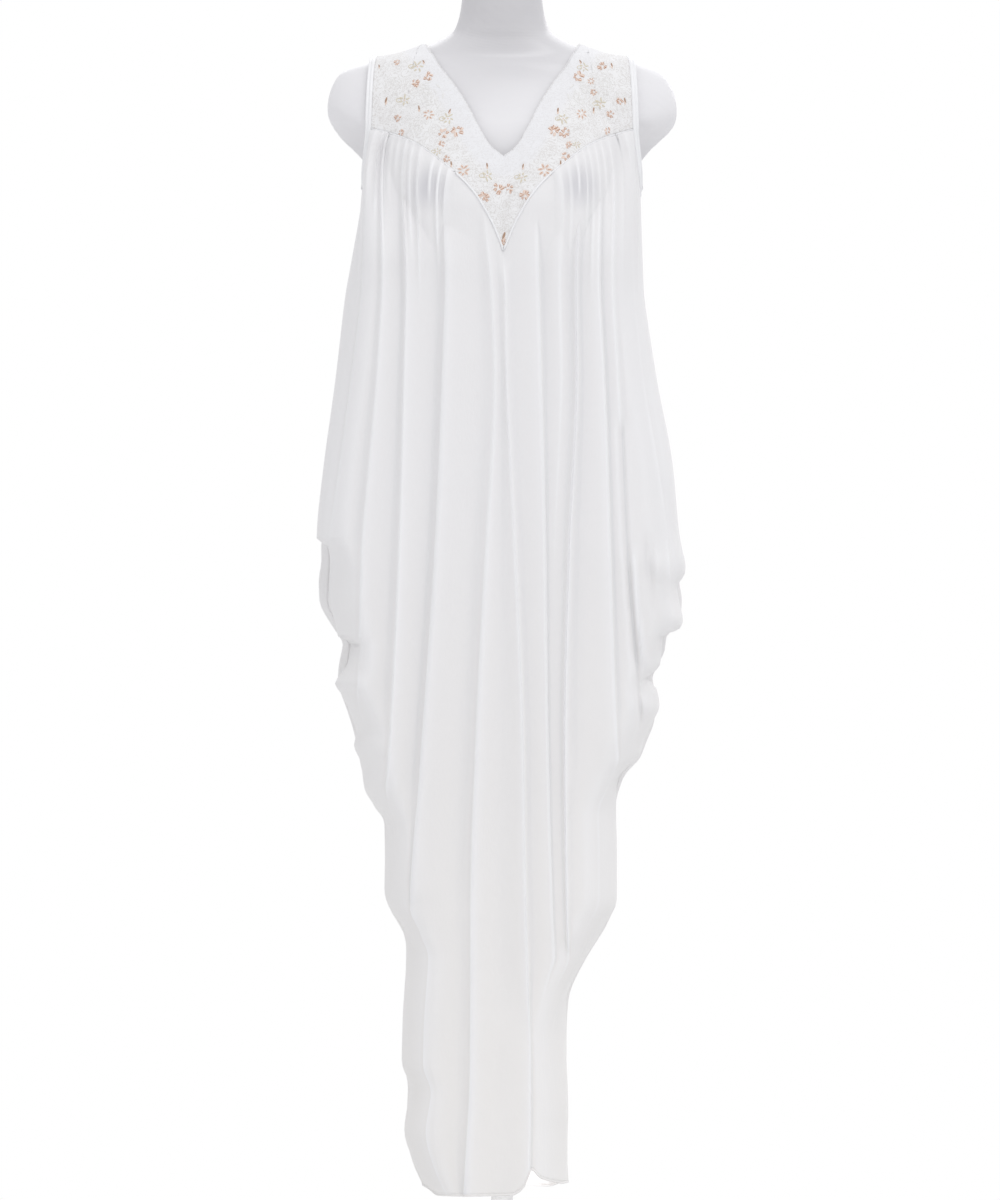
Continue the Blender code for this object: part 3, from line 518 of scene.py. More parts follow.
def mark_margin(yoke, grid):
    """Store on the yoke how near each point lies to the neck edge, for the pale margin there."""
    neck = neck_part(grid[0])
    points = grid.reshape(-1, 3)
    away = np.linalg.norm(points[:, None, :] - neck[None, :, :], axis=2).min(axis=1)
    store(yoke, "margin", np.clip((MARGIN_WIDTH - away) / MARGIN_BLEND, 0, MARGIN_COVER))


cream_lace = net_lace("yoke_cream_lace")
YOKE_GRIDS = {FRONT: yoke_grid(FRONT), BACK: yoke_grid(BACK)}
YOKES = {}
YOKE_CUTS = (
    (FRONT, "lace_yoke_front", (0.31, 0.26), 0.039),
    (BACK, "lace_yoke_back", (0.31, 0.14), 0.035),
)
for side, name, flat, area in YOKE_CUTS:
    yoke = sheet_from(name, YOKE_GRIDS[side], side, LACE_WALL, cream_lace)
    YOKES[side] = yoke
    mark_margin(yoke, YOKE_GRIDS[side])
    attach(yoke, "root")
    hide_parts("front_yoke" if side == FRONT else "back_yoke")

# The embroidery on the yoke. Small machine worked flowers in rose thread with rust centres, open
# flowers drawn in an olive line with a bud above, and brown leaves, along the neck and the V.
THREAD_RISE = 0.45
# The flowers: kind, x, height, width
FLOWERS = (
    ("rose", -120, 1420, 7), ("open", -97, 1415, 14), ("leaf", -90, 1421, 5),
    ("rose", -84, 1403, 10), ("rose", -99, 1395, 10), ("open", -112, 1376, 13),
    ("leaf", -95, 1367, 7), ("star", -84, 1359, 12), ("rose", -120, 1355, 7),
    ("rose", -115, 1339, 6), ("open", -62, 1354, 14), ("leaf", -60, 1363, 6),
    ("rose", -51, 1340, 12), ("rose", -67, 1337, 9), ("rose", -69, 1325, 7),
    ("open", -74, 1316, 10), ("rose", -63, 1307, 7), ("leaf", -58, 1302, 6),
    ("star", -44, 1294, 14), ("open", -17, 1288, 14), ("leaf", -17, 1300, 6),
    ("rose", -20, 1264, 10), ("rose", -4, 1273, 10), ("rose", 8, 1273, 10), ("rose", 26, 1266, 10),
    ("open", 23, 1286, 14), ("leaf", 24, 1299, 6), ("star", 49, 1294, 14), ("rose", 73, 1311, 8),
    ("leaf", 67, 1303, 6), ("open", 86, 1324, 9), ("rose", 76, 1324, 7), ("rose", 72, 1338, 9),
    ("rose", 59, 1340, 12), ("open", 70, 1354, 14), ("leaf", 64, 1364, 6), ("star", 91, 1360, 12),
    ("leaf", 105, 1365, 6), ("open", 113, 1372, 13), ("rose", 124, 1360, 8), ("rose", 135, 1375, 7),
    ("leaf", 141, 1376, 6), ("rose", 121, 1341, 7), ("rose", 105, 1385, 7), ("star", 102, 1398, 8),
    ("rose", 87, 1403, 12), ("open", 94, 1414, 12), ("leaf", 90, 1421, 5), ("rose", 115, 1415, 9),
    ("leaf", 126, 1417, 6), ("rose", 2, 1211, 7), ("leaf", 2, 1219, 8), ("leaf", 1, 1204, 5),
    ("leaf", -133, 1376, 7), ("leaf", -141, 1416, 5),
)
# White roses worked in the ground colour: x, height, radius
TONAL_ROSES = ((-84, 1380, 17), (92, 1381, 17), (-96, 1340, 13), (118, 1395, 12), (-122, 1396, 12))
FLOWER_SEED = 11
THREAD_SHADE = 0.82
# The five threads, and how many petals, how far out, how long and which strokes each flower has.
# A stroke is its thread, share of the petal's length, share of the flower's width and extra rise.
THREADS = {
    "rose": (0.85, 0.69, 0.60),
    "rust": (0.55, 0.29, 0.18),
    "olive": (0.74, 0.68, 0.55),
    "brown": (0.45, 0.29, 0.20),
    "white": (0.86, 0.85, 0.835),
}
PETAL_RINGS = {
    "star": (7, 0.3, (0.26, 0.52), (("rose", 1, 0.19, 0), ("rust", 0.7, 0.07, 0.15))),
    "open": (6, 0.28, (0.24, 0.5), (("olive", 1, 0.13, 0),)),
}
TONAL_RINGS = ((0.25, 4), (0.55, 6), (0.95, 8))
PETAL_SIDES = 10
ROSE_PETALS = 6
LOOP_CORNERS = (0, 1.05, 2.1, 3.14, 4.19, 5.24, 6.28)
FLOWER_SCALE = 1.15


def surface_of(grid):
    """Search tree of a grid of points in millimetres."""
    points = [Vector(point) for point in grid.reshape(-1, 3).tolist()]
    return BVHTree.FromPolygons(points, grid_faces(grid))


def on_cloth(surface, x, height, side):
    """Point of the cloth at x and height, with the directions across, up and out of it."""
    far = 500.0
    point, normal, _, _ = surface.ray_cast(Vector((x, side * far, height)), Vector((0, -side, 0)), far)
    if point is None:
        return None
    if normal.y * side < 0:
        normal = -normal
    up = (Vector((0, 0, 1)) - normal * normal.z).normalized()
    return point, up.cross(normal) * -side, up, normal


def ring_faces(first, sides, count, closed=False):
    """Faces between rings of points, which start at a number and may close."""
    faces = []
    for ring in range(count if closed else count - 1):
        low = first + ring * sides
        high = first + (ring + 1) % count * sides
        for corner in range(sides):
            after = (corner + 1) % sides
            faces.append((low + corner, low + after, high + after, high + corner))
    return faces


class Stitching:
    """Raised shapes of one thread, gathered into one piece."""

    def __init__(self, surface, side):
        self.surface = surface
        self.side = side
        self.points = []
        self.faces = []

    def pad(self, x, height, turn, length, width, rise):
        """Rounded pad of thread, laid along a direction in the cloth."""
        placed = on_cloth(self.surface, x, height, self.side)
        if placed is None:
            return
        point, across, up, out = placed
        along = across * math.cos(turn) + up * math.sin(turn)
        beside = up * math.cos(turn) - across * math.sin(turn)
        first = len(self.points)
        rings = ((1.0, -0.1), (0.94, rise * 0.45), (0.6, rise * 0.9))
        for share, lift in rings:
            for corner in range(PETAL_SIDES):
                angle = math.tau * corner / PETAL_SIDES
                reach = along * (math.cos(angle) * share * length / 2)
                spread = beside * (math.sin(angle) * share * width / 2)
                self.points.append(point + reach + spread + out * lift)
        top = len(self.points)
        last = top - PETAL_SIDES
        self.points.append(point + out * rise)
        self.faces += ring_faces(first, PETAL_SIDES, len(rings))
        self.faces += [(last + corner, last + (corner + 1) % PETAL_SIDES, top)
                       for corner in range(PETAL_SIDES)]

    def line(self, places, width, rise):
        """Narrow line of thread through (x, height) places."""
        for (x, height), (after_x, after_height) in zip(places, places[1:]):
            length = math.hypot(after_x - x, after_height - height)
            turn = math.atan2(after_height - height, after_x - x)
            middle = (x + after_x) / 2, (height + after_height) / 2
            self.pad(*middle, turn, length * 1.25, width, rise)

    def piece(self, name, colour):
        """The object of all this thread."""
        shade = [share * THREAD_SHADE for share in colour]
        thread = grained(name + "_silk", colour, shade, 0.5, 0.15, {"Roughness": 0.5, "Sheen Weight": 0.3})
        done = object_from(name, self.points, self.faces, thread)
        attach(done, "root")
        return done


def petals(x, height, radius, count, start):
    """Middles and directions of petals in a ring."""
    for petal in range(count):
        turn = start + math.tau * petal / count
        yield x + math.cos(turn) * radius, height + math.sin(turn) * radius, turn


lace_surface = surface_of(YOKE_GRIDS[FRONT])
work = {thread: Stitching(lace_surface, FRONT) for thread in THREADS}
flower_chance = random.Random(FLOWER_SEED)
for kind, x, height, width in FLOWERS:
    start = flower_chance.random() * math.tau
    size = width * FLOWER_SCALE * flower_chance.uniform(0.9, 1.1)
    if kind == "rose":
        for petal_x, petal_z, turn in petals(x, height, size * 0.31, ROSE_PETALS, start):
            petal = size * flower_chance.uniform(0.28, 0.58)
            petal_x += size * flower_chance.uniform(-0.1, 0.1)
            petal_z += size * flower_chance.uniform(-0.1, 0.1)
            turn += flower_chance.uniform(-0.8, 0.8)
            work["rose"].pad(petal_x, petal_z, turn, petal, petal * 0.62, THREAD_RISE)
            for beside in (-1, 1):
                if flower_chance.random() < 0.8:
                    aside = beside * petal * 0.18
                    place = petal_x - math.sin(turn) * aside, petal_z + math.cos(turn) * aside
                    work["rust"].pad(*place, turn + beside * 0.35, petal * 0.85, petal * 0.17,
                                     THREAD_RISE + 0.2)
    elif kind in PETAL_RINGS:
        count, out, lengths, strokes = PETAL_RINGS[kind]
        for petal_x, petal_z, turn in petals(x, height, size * out, count, start):
            petal = size * flower_chance.uniform(*lengths)
            turn += flower_chance.uniform(-0.4, 0.4)
            for thread, length, breadth, rise in strokes:
                work[thread].pad(petal_x, petal_z, turn, petal * length, size * breadth, THREAD_RISE + rise)
        if kind == "open":
            loop = [(x + math.cos(step) * size * 0.2 - size * 0.42, height + math.sin(step) * size * 0.16)
                    for step in LOOP_CORNERS]
            work["olive"].line(loop, size * 0.07, THREAD_RISE * 0.7)
            work["rose"].pad(x, height, start, size * 0.16, size * 0.12, THREAD_RISE)
    else:
        lean = math.pi / 2 + flower_chance.uniform(-0.5, 0.5)
        work["brown"].pad(x, height, lean, size, size * 0.3, THREAD_RISE)
        work["rose"].pad(x, height - size * 0.35, lean, size * 0.7, size * 0.34, THREAD_RISE * 0.8)
for x, height, radius in TONAL_ROSES:
    for share, count in TONAL_RINGS:
        for petal_x, petal_z, turn in petals(x, height, radius * share, count, share * 5):
            work["white"].pad(petal_x, petal_z, turn + math.pi / 2, radius * 0.5, radius * 0.14,
                              THREAD_RISE * 0.7)
for thread, colour in THREADS.items():
    work[thread].piece("embroidery_" + thread, colour)

# The body of the gown. A front and a back panel of fine, slightly sheer jersey, gathered by
# hand onto the yoke, plain along the V, and hanging from there in long soft folds. Both taper
# to a narrow hem, and the spare width at the sides hangs in stacked swags.
JERSEY_WALL = 0.8
# General shape: height, middle x, half width, front depth, back depth
GOWN_SHAPE = (
    (1280, -1, 155, 128, 110), (1150, -4, 173, 140, 118), (1060, -5, 186, 143, 122),
    (960, -4, 201, 144, 132), (865, -3, 210, 142, 140), (760, -3, 190, 135, 134),
    (650, 0, 169, 124, 122), (550, -2, 138, 112, 110), (460, -1, 132, 103, 100),
    (370, -13, 100, 94, 92), (270, -18, 92, 86, 84), (120, -9, 84, 78, 76),
)
# Sections below the bust, left then right: height, front reach, back reach, tuck of the seam
SIDE_SECTIONS = (
    ((1151, -182, -180, 8), (1151, 164, 163, 8)),
    ((1056, -193, -190, 12), (1056, 179, 177, 12)),
    ((961, -206, -202, 15), (961, 197, 194, 15)),
    ((896, -213, -206, 16), (878, 205, 201, 16)),
    ((874, -214, -208, 16), (843, 212, 204, 16)),
    ((865, -201, -209, 12), (833, 211, 204, 14)),
    ((848, -198, -209, 15), (818, 202, 206, 14)),
    ((825, -198, -212, 17), (804, 204, 208, 16)),
    ((802, -197, -211, 14), (781, 209, 206, 16)),
    ((779, -193, -200, 12), (770, 205, 199, 12)),
    ((761, -189, -188, 9), (761, 185, 190, 9)),
    ((752, -168, -184, 12), (745, 184, 188, 10)),
    ((726, -180, -189, 14), (728, 182, 180, 12)),
    ((707, -193, -190, 12), (713, 168, 174, 9)),
    ((695, -185, -186, 10), (702, 178, 176, 10)),
    ((673, -175, -178, 10), (682, 182, 178, 12)),
    ((650, -168, -171, 9), (663, 174, 176, 11)),
    ((636, -171, -168, 9), (642, 164, 168, 9)),
    ((616, -163, -164, 9), (622, 158, 160, 8)),
    ((587, -159, -157, 9), (598, 132, 140, 7)),
    ((566, -147, -148, 8), (556, 132, 130, 8)),
    ((545, -134, -136, 7), (515, 133, 131, 8)),
    ((472, -136, -135, 8), (460, 133, 131, 8)),
    ((451, -131, -131, 7), (429, 118, 121, 7)),
    ((428, -114, -118, 6), (411, 108, 110, 6)),
    ((417, -111, -113, 6), (390, 95, 97, 6)),
    ((400, -110, -111, 6), (343, 74, 77, 6)),
    ((320, -115, -113, 6), (297, 74, 75, 6)),
    ((274, -116, -114, 6), (251, 76, 75, 6)),
    ((242, -107, -109, 5), (216, 77, 76, 5)),
    ((194, -113, -111, 5), (182, 76, 76, 5)),
)
# The same columns without the heights, near the hem, and how far above the hem each lies
HEM_SECTIONS = (
    ((-102, -104, 5), (76, 76, 5)), ((-91, -94, 4), (77, 76, 4)), ((-88, -92, 4), (77, 76, 4)),
)
HEM_STEPS = (28.0, 5.0, 0.0)
HEM_MIDDLE_X = -7.0
HEM_SIDE_FROM = 66.0
HEM_SIDE_OVER = 14.0
# Height of the hem: x, height
FRONT_HEM = (
    (-95, 129), (-74, 120), (11, 121), (23, 128), (30, 143), (34, 150), (44, 141), (60, 136),
    (78, 135),
)
BACK_HEM = ((-95, 131), (-50, 127), (10, 130), (50, 127), (78, 133))
# Folds, left to right: x at the seam, then at heights FOLD_HEIGHTS, depth high, middle and low,
# the gathers between this fold and the next, and how far the trough leans to the next fold
FOLD_HEIGHTS = (1060, 865, 650, 460, 270, 120)
DEPTH_HEIGHTS = (1120, 760, 320)
FRONT_FOLDS = (
    (-149, (-178, -208, -230, -230, -230, -230), (3, 2, 0), 0, 0.3),
    (-142, (-172, -197, -220, -225, -225, -225), (5, 4, 0), 1, 0.36),
    (-129, (-143, -159, -167, -180, -190, -190), (6, 7, 0), 2, 0.38),
    (-106, (-112, -117, -128, -145, -160, -160), (7, 8, 4), 4, 0.4),
    (-59, (-68, -76, -91, -105, -122, -130), (8, 9, 5), 1, 0.38),
    (-24, (-8, -18, -29, -35, -36, -44), (5, 8, 9), 0, 0.1),
    (2, (5, 15, 24, 27, 33, 32), (3, 6, 8), 0, -0.38),
    (38, (45, 50, 53, 58, 66, 70), (6, 5, 2), 1, -0.36),
    (61, (68, 60, 58, 64, 76, 80), (5, 0, 0), 1, 0.1),
    (82, (86, 77, 72, 74, 84, 86), (9, 11, 4), 2, -0.4),
    (102, (117, 124, 131, 150, 160, 160), (7, 8, 0), 1, -0.4),
    (117, (133, 142, 157, 170, 180, 180), (5, 4, 0), 1, -0.38),
    (138, (161, 191, 200, 200, 200, 200), (6, 5, 0), 0, -0.36),
    (149, (172, 203, 225, 225, 225, 225), (3, 2, 0), 0, 0),
)
BACK_FOLDS = (
    (-149, (-176, -204, -225, -225, -225, -225), (3, 2, 0), 1, 0.1),
    (-124, (-141, -160, -170, -185, -190, -190), (6, 7, 0), 3, 0.2),
    (-84, (-92, -103, -112, -118, -130, -130), (8, 10, 5), 3, -0.15),
    (-42, (-48, -53, -58, -63, -70, -66), (7, 9, 8), 3, 0.2),
    (-4, (1, -4, 3, -3, -12, -14), (9, 11, 9), 3, -0.2),
    (39, (47, 52, 50, 44, 36, 38), (7, 9, 7), 3, 0.15),
    (80, (91, 98, 101, 97, 90, 96), (8, 10, 4), 3, -0.2),
    (124, (143, 161, 158, 160, 160, 160), (6, 6, 0), 1, -0.1),
    (149, (170, 202, 220, 220, 220, 220), (3, 2, 0), 0, 0),
)
# Creases that run into the swags, most by the outline: how far out, width, then x and height
CREASES = (
    (-7.0, 4.0, ((136, 1010), (139, 940), (142, 872), (147, 808), (155, 712), (159, 660))),
    (6.0, 4.5, ((150, 860), (154, 800), (160, 750), (168, 716), (179, 687))),
    (-4.0, 4.5, ((184, 940), (188, 895), (192, 862), (199, 833), (205, 816))),
    (4.0, 6.0, ((190, 960), (196, 900), (204, 855), (212, 838))),
    (-4.5, 4.5, ((165, 880), (169, 830), (175, 795), (186, 766))),
    (4.5, 6.0, ((176, 860), (184, 815), (196, 784), (207, 774))),
    (-4.0, 4.0, ((159, 700), (159, 672), (157, 648), (150, 618))),
    (2.5, 6.0, ((168, 690), (170, 665), (163, 638), (150, 608))),
    (-5.0, 2.5, ((-201, 846), (-199.5, 834), (-202, 816))),
    (-5.0, 7.0, ((-186, 748), (-180, 742), (-182, 726), (-186, 714))),
    (6.0, 4.0, ((-167, 751), (-176, 732), (-183, 718), (-193, 706))),
    (-3.0, 4.0, ((-166, 660), (-168, 648), (-170, 636))),
    (2.5, 7.0, ((-150, 640), (-156, 610), (-146, 575), (-134, 552))),
)
CREASE_FADE = 16.0
CREASE_FAINTEST = 0.15
# Painted highlights on the crests and painted shade in the valleys: how far round a point it is
# compared, and how far it then stands out for the full effect
TONE_REACHES = ((2.2, 0.75), (13.0, 5.5))
TONE_EDGE = 18.0
TONE_EDGE_START = 0.3
TONE_STEP = 0.2
SEAM_GAP = 0.4
SHAPE_POWER = 2.4
SHAPE_MARGIN = 34.0
SIDE_ROUND = 38.0
SIDE_SEAM_Y = 6.0
FOLD_SPACING = 2.4
STEEPEST_FOLD = 1.0
TROUGH_SHARE = 0.45
FOLD_FADE = 12.0
FOLD_FADE_START = 0.3
FEWEST_SPACINGS = 3
PLANE_POWER = 1.25
STEEP_POWER = 1.9
LEAN_SHARE = 0.72
CREST_SHARE = 0.7
COLUMN_BUNCHING = 1.4
SIDE_COLUMNS = 12
TUCK_SHARE = 0.14
TUCK_DEPTH = 0.75
NOTCH_SLOPE = 0.42
NOTCH_REACH = 8.0
COLUMNS_IN_A_GATHER = 6
FEWEST_COLUMNS = 11
GATHER_PANEL_ROWS = 50
GATHER_ROW_POWER = 1.25
# Rows above and below the first section that are smoothed into it, and how often
JOIN_ABOVE = 8
JOIN_BELOW = 10
JOIN_PASSES = 12
ROW_SPACING = 6.2
# Armhole edge of the panels, from the side seam: x, y, height
ARMHOLE_SEAM = (158, 6, 1269)
ARMHOLE_FRONT = ((159, -16, 1272), (157, -40, 1291))
ARMHOLE_BACK = ((159.5, 30, 1268), (158.5, 53, 1271))
SPREAD_POWER = 0.65
DEPTH_PACE = 1.25
CLEAR_HALF_WIDTH = 148.0
CLEAR_BLEND = 16.0
CLEAR_DROP = 14.0
PLAIN_SEAM_HALF = 56.0
PLAIN_SEAM_BLEND = 6.0
GATHER_DEPTH = 4.4
GATHER_SWAY = 0.36
RIDGE_ROUNDING = 0.004
FAN_OUT = 7.0
FAN_LENGTH = 26.0
GATHER_PINCH = 0.35
GATHER_DEPTHS = (0.35, 1.35)
GATHER_FADE_FROM = 0.45
GATHER_FADE_OVER = 0.9
PLAIN_EDGE_COLUMNS = 8
PUFF_DEPTH = 2.0
PUFF_LENGTH = 16.0
PUFF_PLACE = 0.7
GATHER_SHORTEST = 36.0
GATHER_LONGEST = 150.0
GATHER_SEED = 5
KNIT_SIZE = 2.2
KNIT_STRETCH = (1, 1, 0.35)
KNIT_RISE = 0.12
# Heights in metres between which the jersey turns from a warm to a cool white
WARM_BELOW = 0.25
COOL_ABOVE = 0.95
JERSEY_WHITE = (0.834, 0.824, 0.828)
JERSEY_SHADE = (0.812, 0.803, 0.807)
JERSEY_WARM = (0.828, 0.811, 0.795)
# Colour of the painted shade where the form's shaded bust shows through the cloth
BUST_PAINTED_SHADE = (0.655, 0.648, 0.672)
# Painted highlight on the fold crests, and painted shade in the valleys with its strength
CREST_HIGHLIGHT = (0.90, 0.897, 0.907)
VALLEY_SHADE = (0.69, 0.69, 0.70)
VALLEY_SHARE = 0.6
# Painted light for the light the jersey lets through: how bright its inner face glows, where it faces into
# the gown
INNER_PAINTED_GLOW = 0.6
INSIDE_FROM = -0.02
INSIDE_FULL = -0.06
# Where painted shade stands for the form's shaded bust showing faintly through under the gathers: x, height,
# radius
BUST_SHADE_SPOTS = ((-84, 1274, 34), (89, 1276, 34))
BUST_SHADE_Y = -115.0
SPOT_CORE = 0.05
SPOT_DEPTH_SHARE = 0.3

SHAPE = section_columns(GOWN_SHAPE, (1, 2, 3, 4))


def fold_x(fold, height):
    """X of a fold line at a height."""
    return eased([*sorted(zip(FOLD_HEIGHTS, fold[1])), (1300, fold[0])], height)


def gown_y(x, height, left, right, side):
    """Y of the gown's plain surface at a place, rounded where it turns to the side seams."""
    middle, half, front, back = (eased(knots, height) for knots in SHAPE)
    share = clamp(abs(x - middle) / (half + SHAPE_MARGIN), 0.0, 0.999)
    inner = (front if side == FRONT else back) * (1 - share ** SHAPE_POWER) ** (1 / SHAPE_POWER)
    turn = 1 - clamp(min(x - left, right - x) / SIDE_ROUND)
    return SIDE_SEAM_Y + (side * inner - SIDE_SEAM_Y) * math.sqrt(1 - turn * turn)


def between_crests(share, lean):
    """Height between two fold crests: 1 at either crest, 0 in the trough, which leans to one side."""
    trough = 0.5 + lean * LEAN_SHARE
    if share < trough:
        way = share / trough
        gentle = lean > 0
    else:
        way = (1 - share) / (1 - trough)
        gentle = lean < 0
    if gentle:
        return (1 - way) ** PLANE_POWER
    return (1 - way) ** STEEP_POWER


def panel_columns(folds):
    """Columns of a panel between its outermost folds: left fold, share of the way to the next."""
    columns = []
    for index, fold in enumerate(folds[:-1]):
        parts = max(FEWEST_COLUMNS, COLUMNS_IN_A_GATHER * (fold[3] + 1))
        for part in range(parts):
            share = (part / parts) ** COLUMN_BUNCHING
            if fold[4] > 0:
                share = 1 - ((parts - part) / parts) ** COLUMN_BUNCHING
            columns.append((index, share))
    columns.append((len(folds) - 2, 1.0))
    return columns


def gown_line(folds, columns, left, right, heights, side):
    """One section of a panel, from side seam to side seam.

    Left and right are (front reach, back reach); heights gives the height at an x.
    """
    pick = 0 if side == FRONT else 1
    low = left[pick]
    high = right[pick]
    count = len(folds)
    fold_xs = []
    fades = []
    for index, fold in enumerate(folds):
        wanted = fold_x(fold, heights((low + high) / 2))
        least = low + FOLD_SPACING * (2 * index + FEWEST_SPACINGS)
        most = high - FOLD_SPACING * (2 * (count - 1 - index) + FEWEST_SPACINGS)
        nearest = max(least, fold_xs[-1] + FOLD_SPACING * 2) if fold_xs else least
        fold_xs.append(clamp(wanted, nearest, most))
        from_left = soft_step((wanted - least) / FOLD_FADE + FOLD_FADE_START)
        from_right = soft_step((most - wanted) / FOLD_FADE + FOLD_FADE_START)
        fades.append(from_left * from_right)
    waves = []
    for index, (fold, fade) in enumerate(zip(folds, fades)):
        nearby = fold_xs[max(index - 1, 0):index + 2]
        space = min(abs(second - first) for first, second in zip(nearby, nearby[1:])) * STEEPEST_FOLD
        depth = eased(sorted(zip(DEPTH_HEIGHTS, fold[2])), heights(0))
        waves.append(clamp(depth * fade * CREST_SHARE, -space, space))
    line = []
    for index, share in columns:
        x = mix(fold_xs[index], fold_xs[index + 1], share)
        height = heights(x)
        room_for_trough = (fold_xs[index + 1] - fold_xs[index]) / 2
        lower = min(waves[index], waves[index + 1])
        trough = -TROUGH_SHARE * min(lower, room_for_trough) if lower > 0 else lower
        lean = folds[index][4]
        crest = waves[index] if share < 0.5 + lean * LEAN_SHARE else waves[index + 1]
        wave = mix(trough, crest, between_crests(share, lean))
        line.append((x, gown_y(x, height, low, high, side) + side * wave, height))
    edges = []
    for edge, nearest in ((low, line[0]), (high, line[-1])):
        edge_columns = []
        for step in range(SIDE_COLUMNS):
            share = step / SIDE_COLUMNS
            x = mix(edge, nearest[0], 1 - math.cos(share * math.pi / 2))
            y = gown_y(x, heights(x), low, high, side)
            blend = soft_step((share - 0.5) * 2)
            y += (nearest[1] - gown_y(nearest[0], nearest[2], low, high, side)) * blend
            if step == 0:
                y = SIDE_SEAM_Y + side * SEAM_GAP / 2
            edge_columns.append((x, y, heights(x)))
        edges.append(edge_columns)
    return edges[0] + line + edges[1][::-1]


def wide_reach(rows, column, way):
    """Reach of the cloth at each section without the notches between the swags."""
    return [
        way * max(way * other[column] - NOTCH_SLOPE * abs(row[0] - other[0]) for other in rows)
        for row in rows
    ]


def pulled_in(line, wide, reach, way):
    """Section with its outermost columns pulled in to the outline at a notch between swags."""
    if abs(wide - reach) < 0.1:
        return line
    inner = reach - way * NOTCH_REACH
    share = (reach - inner) / (wide - inner)
    return [(inner + (x - inner) * share if way * (x - inner) > 0 else x, y, height)
            for x, y, height in line]


def tucked_in(line, left, right, side):
    """Section with its outermost columns turned in to the side seams.

    Left and right are (front reach, back reach, tuck), at the true outline.
    """
    pick = 0 if side == FRONT else 1
    for reach, way, first in ((left, 1, 0), (right, -1, len(line) - 1)):
        outermost = min(reach[0] * way, reach[1] * way) * way
        tucked = outermost + way * reach[2] * TUCK_DEPTH - reach[pick]
        for step in range(SIDE_COLUMNS):
            x, y, height = line[first + way * step]
            turned = math.exp(-((step / SIDE_COLUMNS / TUCK_SHARE) ** 2))
            line[first + way * step] = (x + tucked * turned, y, height)
    return line


def seam_point(x, side, lift, drop=0.0):
    """Point on the yoke seam at x, lifted off the body and dropped along the cloth."""
    height = seam_height(x, side)
    step = 0.5
    across = (cloth_face(x + step, height, side) - cloth_face(x - step, height, side)) / (2 * step)
    along = (cloth_face(x, height + step, side) - cloth_face(x, height - step, side)) / (2 * step)
    outward = Vector((-across, 1, -along)).normalized() * side
    slope = (seam_height(x + step, side) - seam_height(x - step, side)) / (2 * step)
    fall = drop * math.sqrt(1 + slope * slope)
    return Vector((x, cloth_face(x, height, side), height - fall)) + outward * lift, outward


def along_points(points, share):
    """Point part of the way along a row of points, smooth through all of them."""
    places = [index / (len(points) - 1) for index in range(len(points))]
    return [eased(list(zip(places, values)), share) for values in zip(*points)]


def top_edge(folds, columns, side):
    """Top edge of a panel: the armhole, the yoke seam and the other armhole."""
    lift = YOKE_LIFT_AT_SEAM + CLOTH_WALL
    seam_xs = [mix(folds[index][0], folds[index + 1][0], share) for index, share in columns]
    middle = [tuple(seam_point(x, side, lift, SEAM_GAP)[0]) for x in seam_xs]
    rows = (ARMHOLE_SEAM,) + (ARMHOLE_FRONT if side == FRONT else ARMHOLE_BACK)
    edges = []
    for way, nearest in ((-1, middle[0]), (1, middle[-1])):
        corners = [(way * x, y, height) for x, y, height in rows]
        corners[0] = (corners[0][0], corners[0][1] + side * SEAM_GAP / 2, corners[0][2])
        corners.append(nearest)
        edges.append([tuple(along_points(corners, step / SIDE_COLUMNS)) for step in range(SIDE_COLUMNS)])
    return edges[0] + middle + edges[1][::-1]


def gather_wave(folds, columns, chance):
    """For each column, the height of the gather it lies on, and how long and deep that gather is."""
    waves = []
    lengths = {}
    sways = {}
    for index, share in columns:
        count = folds[index][3] + 1
        turns = share * count
        if (index, 0) not in sways:
            for ridge in range(count + 1):
                inner = 0 < ridge < count
                sways[index, ridge] = GATHER_SWAY * chance.uniform(-1, 1) if inner else 0
        ridge = min(int(turns), count - 1)
        turns += mix(sways[index, ridge], sways[index, ridge + 1], turns - ridge)
        wave = 1 - math.sqrt(math.sin(math.pi * turns) ** 2 + RIDGE_ROUNDING)
        key = (index, round(turns))
        if round(turns) == folds[index][3] + 1:
            key = (index + 1, 0)
        if key not in lengths:
            length = mix(GATHER_SHORTEST, GATHER_LONGEST, chance.random())
            lengths[key] = (length, mix(*GATHER_DEPTHS, chance.random()))
        waves.append((wave, *lengths[key]))
    return waves


